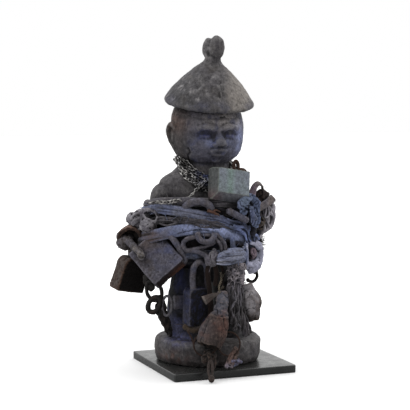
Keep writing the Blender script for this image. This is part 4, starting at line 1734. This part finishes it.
def tassels():
    """A knotted mass of yarn, and the strands below it."""
    middle = smooth_line(path(((26, 50, 122), (26, 53, 111), (25.5, 55, 99))))
    forms = [sweep(middle, 16, 9, sides=32, curved=False, facing=OUT,
                   shape=lambda s, a, total: 0.95 + 0.08 * np.cos(5 * a + s / 2))]
    for k, (across, out, up, size) in enumerate(NET_KNOTS):
        forms.append(ball(at(across, out - 2, up), np.array((size, size * 0.8, size)) * 0.8, seed=k,
                          rough=0.25))
        forms += loops_round(at(across, out - 2, up), (size * 1.1, size * 0.9, size * 1.25), 4, 1.7, 110 + k)
    forms += threads(middle, np.tile(OUT, (len(middle), 1)), 60, 12, reach=(4, 10), wire=1.1, off=9)
    cloth_lump("net_tassel", "grey_cloth", forms, voxel=0.58, size=2.6, depth=0.4, seed=12,
               name="net_tassel_knots",
               spots=[stains("a39a9f", 0.85, 4, 13, -0.5, 0.2), stains("2a2323", 0.8, 6, 12, 0.15, 0.5)])
    for node, rows in (("long_tassel", LONG_STRANDS), ("short_tassel", SHORT_STRANDS)):
        for k, (places, width) in enumerate(rows):
            strand(f"{node}_strand_{k + 1}", node, places, width, 60 + k)


def side_cords():
    """Two curved cords down the side, with short ends and a curled tangle between them."""
    ends = ((((61.5, 9.5, 173), (58.5, 11, 164), (60.5, 9, 154)), 3.4),
            (((64, 9, 181), (66.5, 7, 177), (66, 6, 171)), 5.5),
            (((55, 14, 171), (54.5, 15, 164), (57, 13, 154)), 3.2),
            (((57, 13, 156), (53.5, 14, 149), (50, 15, 143)), 5))
    forms = [ball(at(57.5, 9, 166), (5.5, 4, 11), seed=44, rough=0.15),
             *loops_round(at(60, 8, 165), (7.5, 5, 13), 7, 2.3, 120, tilt=0),
             *loops_round(at(56, 12, 172), (6, 5, 8), 5, 2.2, 140, tilt=0),
             *gathered(ends, flat=1, sides=16, step=0.8, folds=2, deep=0.25, seed=17)]
    pale = patches("9b979e", 0.85, 6, 4, -0.8, 0.2)
    brown = patches("332f36", 0.7, 5, 6, 0.1, 0.6)
    lighter = lambda v, n: 1.75 + 0 * v[:, 0]
    tangle = dressed("side_strands_tangle", forms, "grey_cloth", "side_strands", pale, brown, seed=17,
                     shade=lighter)
    strands = ((((54, 15, 176), (62, 9, 173.5), (65.5, 6, 165), (62.5, 7, 155.5), (55, 11, 150)), 5),
               (((54, 13, 178), (63, 8, 177), (67.5, 6, 170), (65, 7, 158), (57, 11, 151)), 3.6))
    for k, (places, width) in enumerate(strands):
        line = smooth_line(path(places))
        form = sweep(line, width, sides=16, step=0.8, curved=False, shape=pleats(width, 2, 0.25, 13 + k))
        ob = tinted(piece(f"side_strand_{k + 1}", form, "grey_cloth", "side_strands"), pale, brown,
                    seed=18 + k, shade=lighter)


def blue_knot():
    """Folds of cloth that fan out of a knot."""
    folds = (
        (((40.5, 43.5, 194), (35.5, 47, 188), (31, 48.5, 182.5), (31, 48.5, 178)), 10.5, 0.7),
        (((29, 48, 178.5), (33, 49, 175.5), (37.5, 47.5, 173.5)), 6.5, 0.6),
        (((39, 43, 193.5), (44, 40.5, 188), (47.5, 38, 181), (46.5, 37, 173)), 8.5, 0.9),
        (((41.5, 45, 177), (44, 43, 169), (45, 39, 158)), 8, 0.7),
        (((48, 38, 177), (48.5, 36, 168), (46.5, 36, 157)), 6.5, 0.8),
        (((34, 48.5, 186), (39.5, 47, 180), (44, 44.5, 177)), 4.5, 0.8),
        (((38, 45, 184), (42, 43.5, 178), (44, 40, 170)), 4.5, 0.9))
    forms = [ball(at(39, 35.5, 180), (7, 4.5, 8), seed=12),
             ball(at(44, 34, 167), (5.5, 4.6, 8), (0, -18, 0), seed=13)]
    for k, (places, width, ends) in enumerate(folds):
        fold = pleats(width, 2, 0.3, 80 + k, square=3.2)
        leaf = lambda s, a, total, fold=fold, ends=ends: (
            fold(s, a, total) * (1.05 - ends * 0.5 * np.abs(2 * s / total - 1) ** 2))
        forms.append(sweep(path(places), width, width * 0.34, sides=30, step=0.7,
                           facing=towards(0.3 + 0.3 * math.sin(3 * k), 1, 0.4 * math.cos(2 * k)),
                           shape=leaf, blunt=0.5))
    gap = lambda v, n: 0.9 * near_line(v, [at(34, 50, 176), at(42, 45, 182)], 2.0)
    cloth_lump("blue_knot", "blue_cloth", forms, voxel=0.65, size=4.2, depth=1.8, seed=13, soft=0,
               spots=[patches("5a6786", 0.75, 8, 3, -0.8, 0.2),
                      dab("8290a2", 0.7, at(33, 46, 187), (7, 9, 9)), ("0c0d16", gap)])


def strap_loop():
    loop_middle = at(48.5, 21, 193)
    share = lambda line: np.interp(line @ towards(1, 0, 0), (42, 54), (1.5, 0.3))[:, None]
    turned_out = lambda line: unit(unit(line - loop_middle) + towards(-0.35, 1, 0) * share(line))
    places = ((41.5, 25, 183), (43, 24.5, 192.5), (45.2, 23.5, 199.7), (49.2, 22, 203.6), (52.9, 20, 202),
              (54.6, 18, 195.5), (55, 16.5, 187))
    cloth_strip("strap_loop", "leather", places, 9.5, 3.4, seed=15, folds=1, deep=0.15, facing=turned_out,
                scale=lambda t: 1.05 - 0.6 * t, square=4, fray=6,
                spots=[dab("ab97a6", 0.9, at(43, 25, 192), (6, 11, 14)),
                       dab("7a7472", 0.6, at(51, 20, 203), (9, 9, 6))])


def brown_wad():
    folds = ((((47, 20, 192), (54, 17, 194), (62, 12, 189)), 7),
             (((48, 21, 186), (55, 18, 183), (61, 13, 184)), 6),
             (((47, 20, 194), (47.5, 20, 188), (49, 21, 181)), 5))
    forms = [ball(at(54, 12, 188), (6, 7.4, 7), seed=15, rough=0.15)]
    forms += [sweep(path(places), width, 3.4, sides=22, step=0.8, facing=towards(0.2, 1, 0.5),
                    shape=pleats(width, 2, 0.2, 95 + k, square=3))
              for k, (places, width) in enumerate(folds)]
    cloth_lump("brown_wad", "brown_cloth", forms, size=4, depth=1.0, seed=15,
               spots=[patches("211210", 0.85, 6, 2, -0.7, 0.2),
                      ("4b3a36", lambda v, n: 0.5 * step_up(n[:, 2], 0.3, 0.8))])


def flat_bar():
    cloth_strip("flat_bar", "grey_cloth", [(45, 31, 175.5), (52, 26, 178.5), (60, 20, 183), (66.5, 14, 188)],
                8, 4.4, seed=16, folds=1, facing=towards(0.2, 1, 0.2), square=3.4, fray=5,
                scale=lambda t: 0.85 + 0.3 * t, spots=[patches("7a6f6b", 0.8, 8, 4, -0.9, 0.1)])


def brown_lump():
    forms = [node_form("brown_lump"), *loops_round(at(48, 23, 160.5), (8, 6.6, 7.4), 4, 3.4, 99)]
    cloth_lump("brown_lump", "brown_cloth", forms, voxel=0.6, size=3.6, depth=1.1, seed=16, soft=2,
               spots=[patches("4b443c", 0.6, 5, 4, -0.4, 0.4)])


def pink_lump():
    forms = [ball(at(43.5, 33, 129), (3.4, 3.4, 5.6), (0, 22, 0), seed=17, rough=0.3),
             *loops_round(at(43.2, 33.4, 128.6), (3.4, 3.8, 6), 3, 3, 101)]
    cloth_lump("pink_lump", "brown_cloth", forms, size=5, depth=0.7, seed=17,
               spots=[("8d7c8a", lambda v, n: 0.8 + 0.2 * noise(v, 4, 3))])


def cloth_loop():
    turns = (
        (((45, 30, 141), (51, 28, 136), (52.3, 26, 128), (51, 27, 119), (45.5, 31, 111), (38, 36, 109.5)), 7),
        (((35.5, 42, 141), (37, 43, 131), (36.5, 42, 121), (38, 39, 112)), 4.6),
        (((33, 43, 138), (34, 44, 128), (39, 42, 118), (46, 35, 114)), 4),
        (((40, 38, 141), (46, 34, 138.5), (50.5, 30, 132)), 4.4),
        (((49.5, 31, 124), (45, 36, 119), (37, 41, 118)), 5))
    forms = gathered(turns, flat=0.6, sides=26, step=0.7, folds=2, deep=0.3, seed=18, square=2.3,
                     facing=towards(0.5, 1, 0))
    forms += [ball(at(43, 33, 115.5), (9, 6.5, 7.5), seed=20, rough=0.12),
              ball(at(42.5, 27, 124), (8, 5, 12), seed=19)]
    cloth_lump("cloth_loop", "blue_cloth", forms, size=6, depth=0.7, seed=18,
               spots=[patches("bdbdd2", 0.9, 8, 4, -1.0, 0.1),
                      dab("12131c", 0.95, at(44, 30, 128), (7, 7, 7.5))])


def spiky_fringe():
    """Short stiff teeth along a thin bar."""
    pick = np.random.default_rng(18)
    forms = []
    for _ in range(24):
        root = at(51 + pick.uniform(-1, 2), 8 + pick.uniform(-1, 2), 129 + 16 * pick.uniform())
        tip = root + towards(1, -0.35, pick.uniform(-0.5, 0.5)) * pick.uniform(4, 8.5)
        forms.append(sweep([root, (root + tip) / 2 + pick.normal(0, 0.5, 3), tip], 1.0, sides=6, step=0.7,
                           shape=lambda s, a, total: 1.1 - 0.8 * s / total))
    forms.append(sweep([at(52, 8.5, 129), at(52.6, 8.4, 137), at(52, 8.5, 145)], 2.6, sides=12, step=0.7,
                       shape=iron_grain(4, 0.15)))
    dressed("spiky_fringe_teeth", forms, "black_iron", "spiky_fringe", seed=18, patch=4)


def back_shackle():
    lock = LOCKS["back"]
    basis = box_basis(lock["up"], lock["face"])
    span, rise, foot = 19, 24, lock["height"] / 2 - 2
    points = [(-span / 2, foot), (-span / 2, foot + rise * 0.55)]
    for angle in (150, 120, 90, 60, 30):
        a = math.radians(angle)
        points.append((math.cos(a) * span / 2, foot + rise * 0.55 + math.sin(a) * rise * 0.45))
    points += [(span / 2, foot + rise * 0.55), (span / 2, foot)]
    places = [np.array((x, y, -0.12 * (y - foot))) @ basis + lock["centre"] for x, y in points]
    form = sweep(places, 6, sides=20, step=0.7, shape=iron_grain(23))
    tinted(piece("back_padlock_shackle_bar", form, "iron", "back_padlock_shackle"), seed=9)


def back_cloth_tail():
    line = [carved(*p) for p in ((24, 51, 139), (27, 54.5, 118), (24, 50, 95), (28, 48, 68))]
    fold = pleats(20, 4, 0.3, 25, square=3)
    forms = [sweep(line, 20, 3.6, sides=56, step=0.8, facing=(0.3, 1, 0), shape=fold, blunt=0.5)]
    middle, _, _ = even(smooth_line(line), 1.5)
    _, normal, _ = frames_along(middle, (0.3, 1, 0), False)
    forms += threads(middle, normal, 30, 25, off=2)
    dressed("back_cloth_tail_folds", forms, "blue_cloth", "back_cloth_tail", seed=10)


# The cords come first
MAKERS = (
    middle_rope, tassels, side_cords, stand_plate, upper_band, lower_band, chest_roll, lower_wrap, core_wrap,
    big_lock, left_lock, front_lock, back_lock, chest_lock, irons, neck_chain, hooked_shackle, rust_bracket,
    grey_cloth_knot, black_chain, eye_bolt, rust_clasp, centre_link, curved_clasp, front_ties, front_packet,
    olive_cloth, packet_flap, packet_wire, wire_rings, lower_bundle, rolled_scraps, tail_pendant,
    right_packet, blue_knot, strap_loop, brown_wad, flat_bar, brown_lump, pink_lump, cloth_loop,
    spiky_fringe, back_shackle, back_cloth_tail, carved_figure)
for make in MAKERS:
    make()
soot()
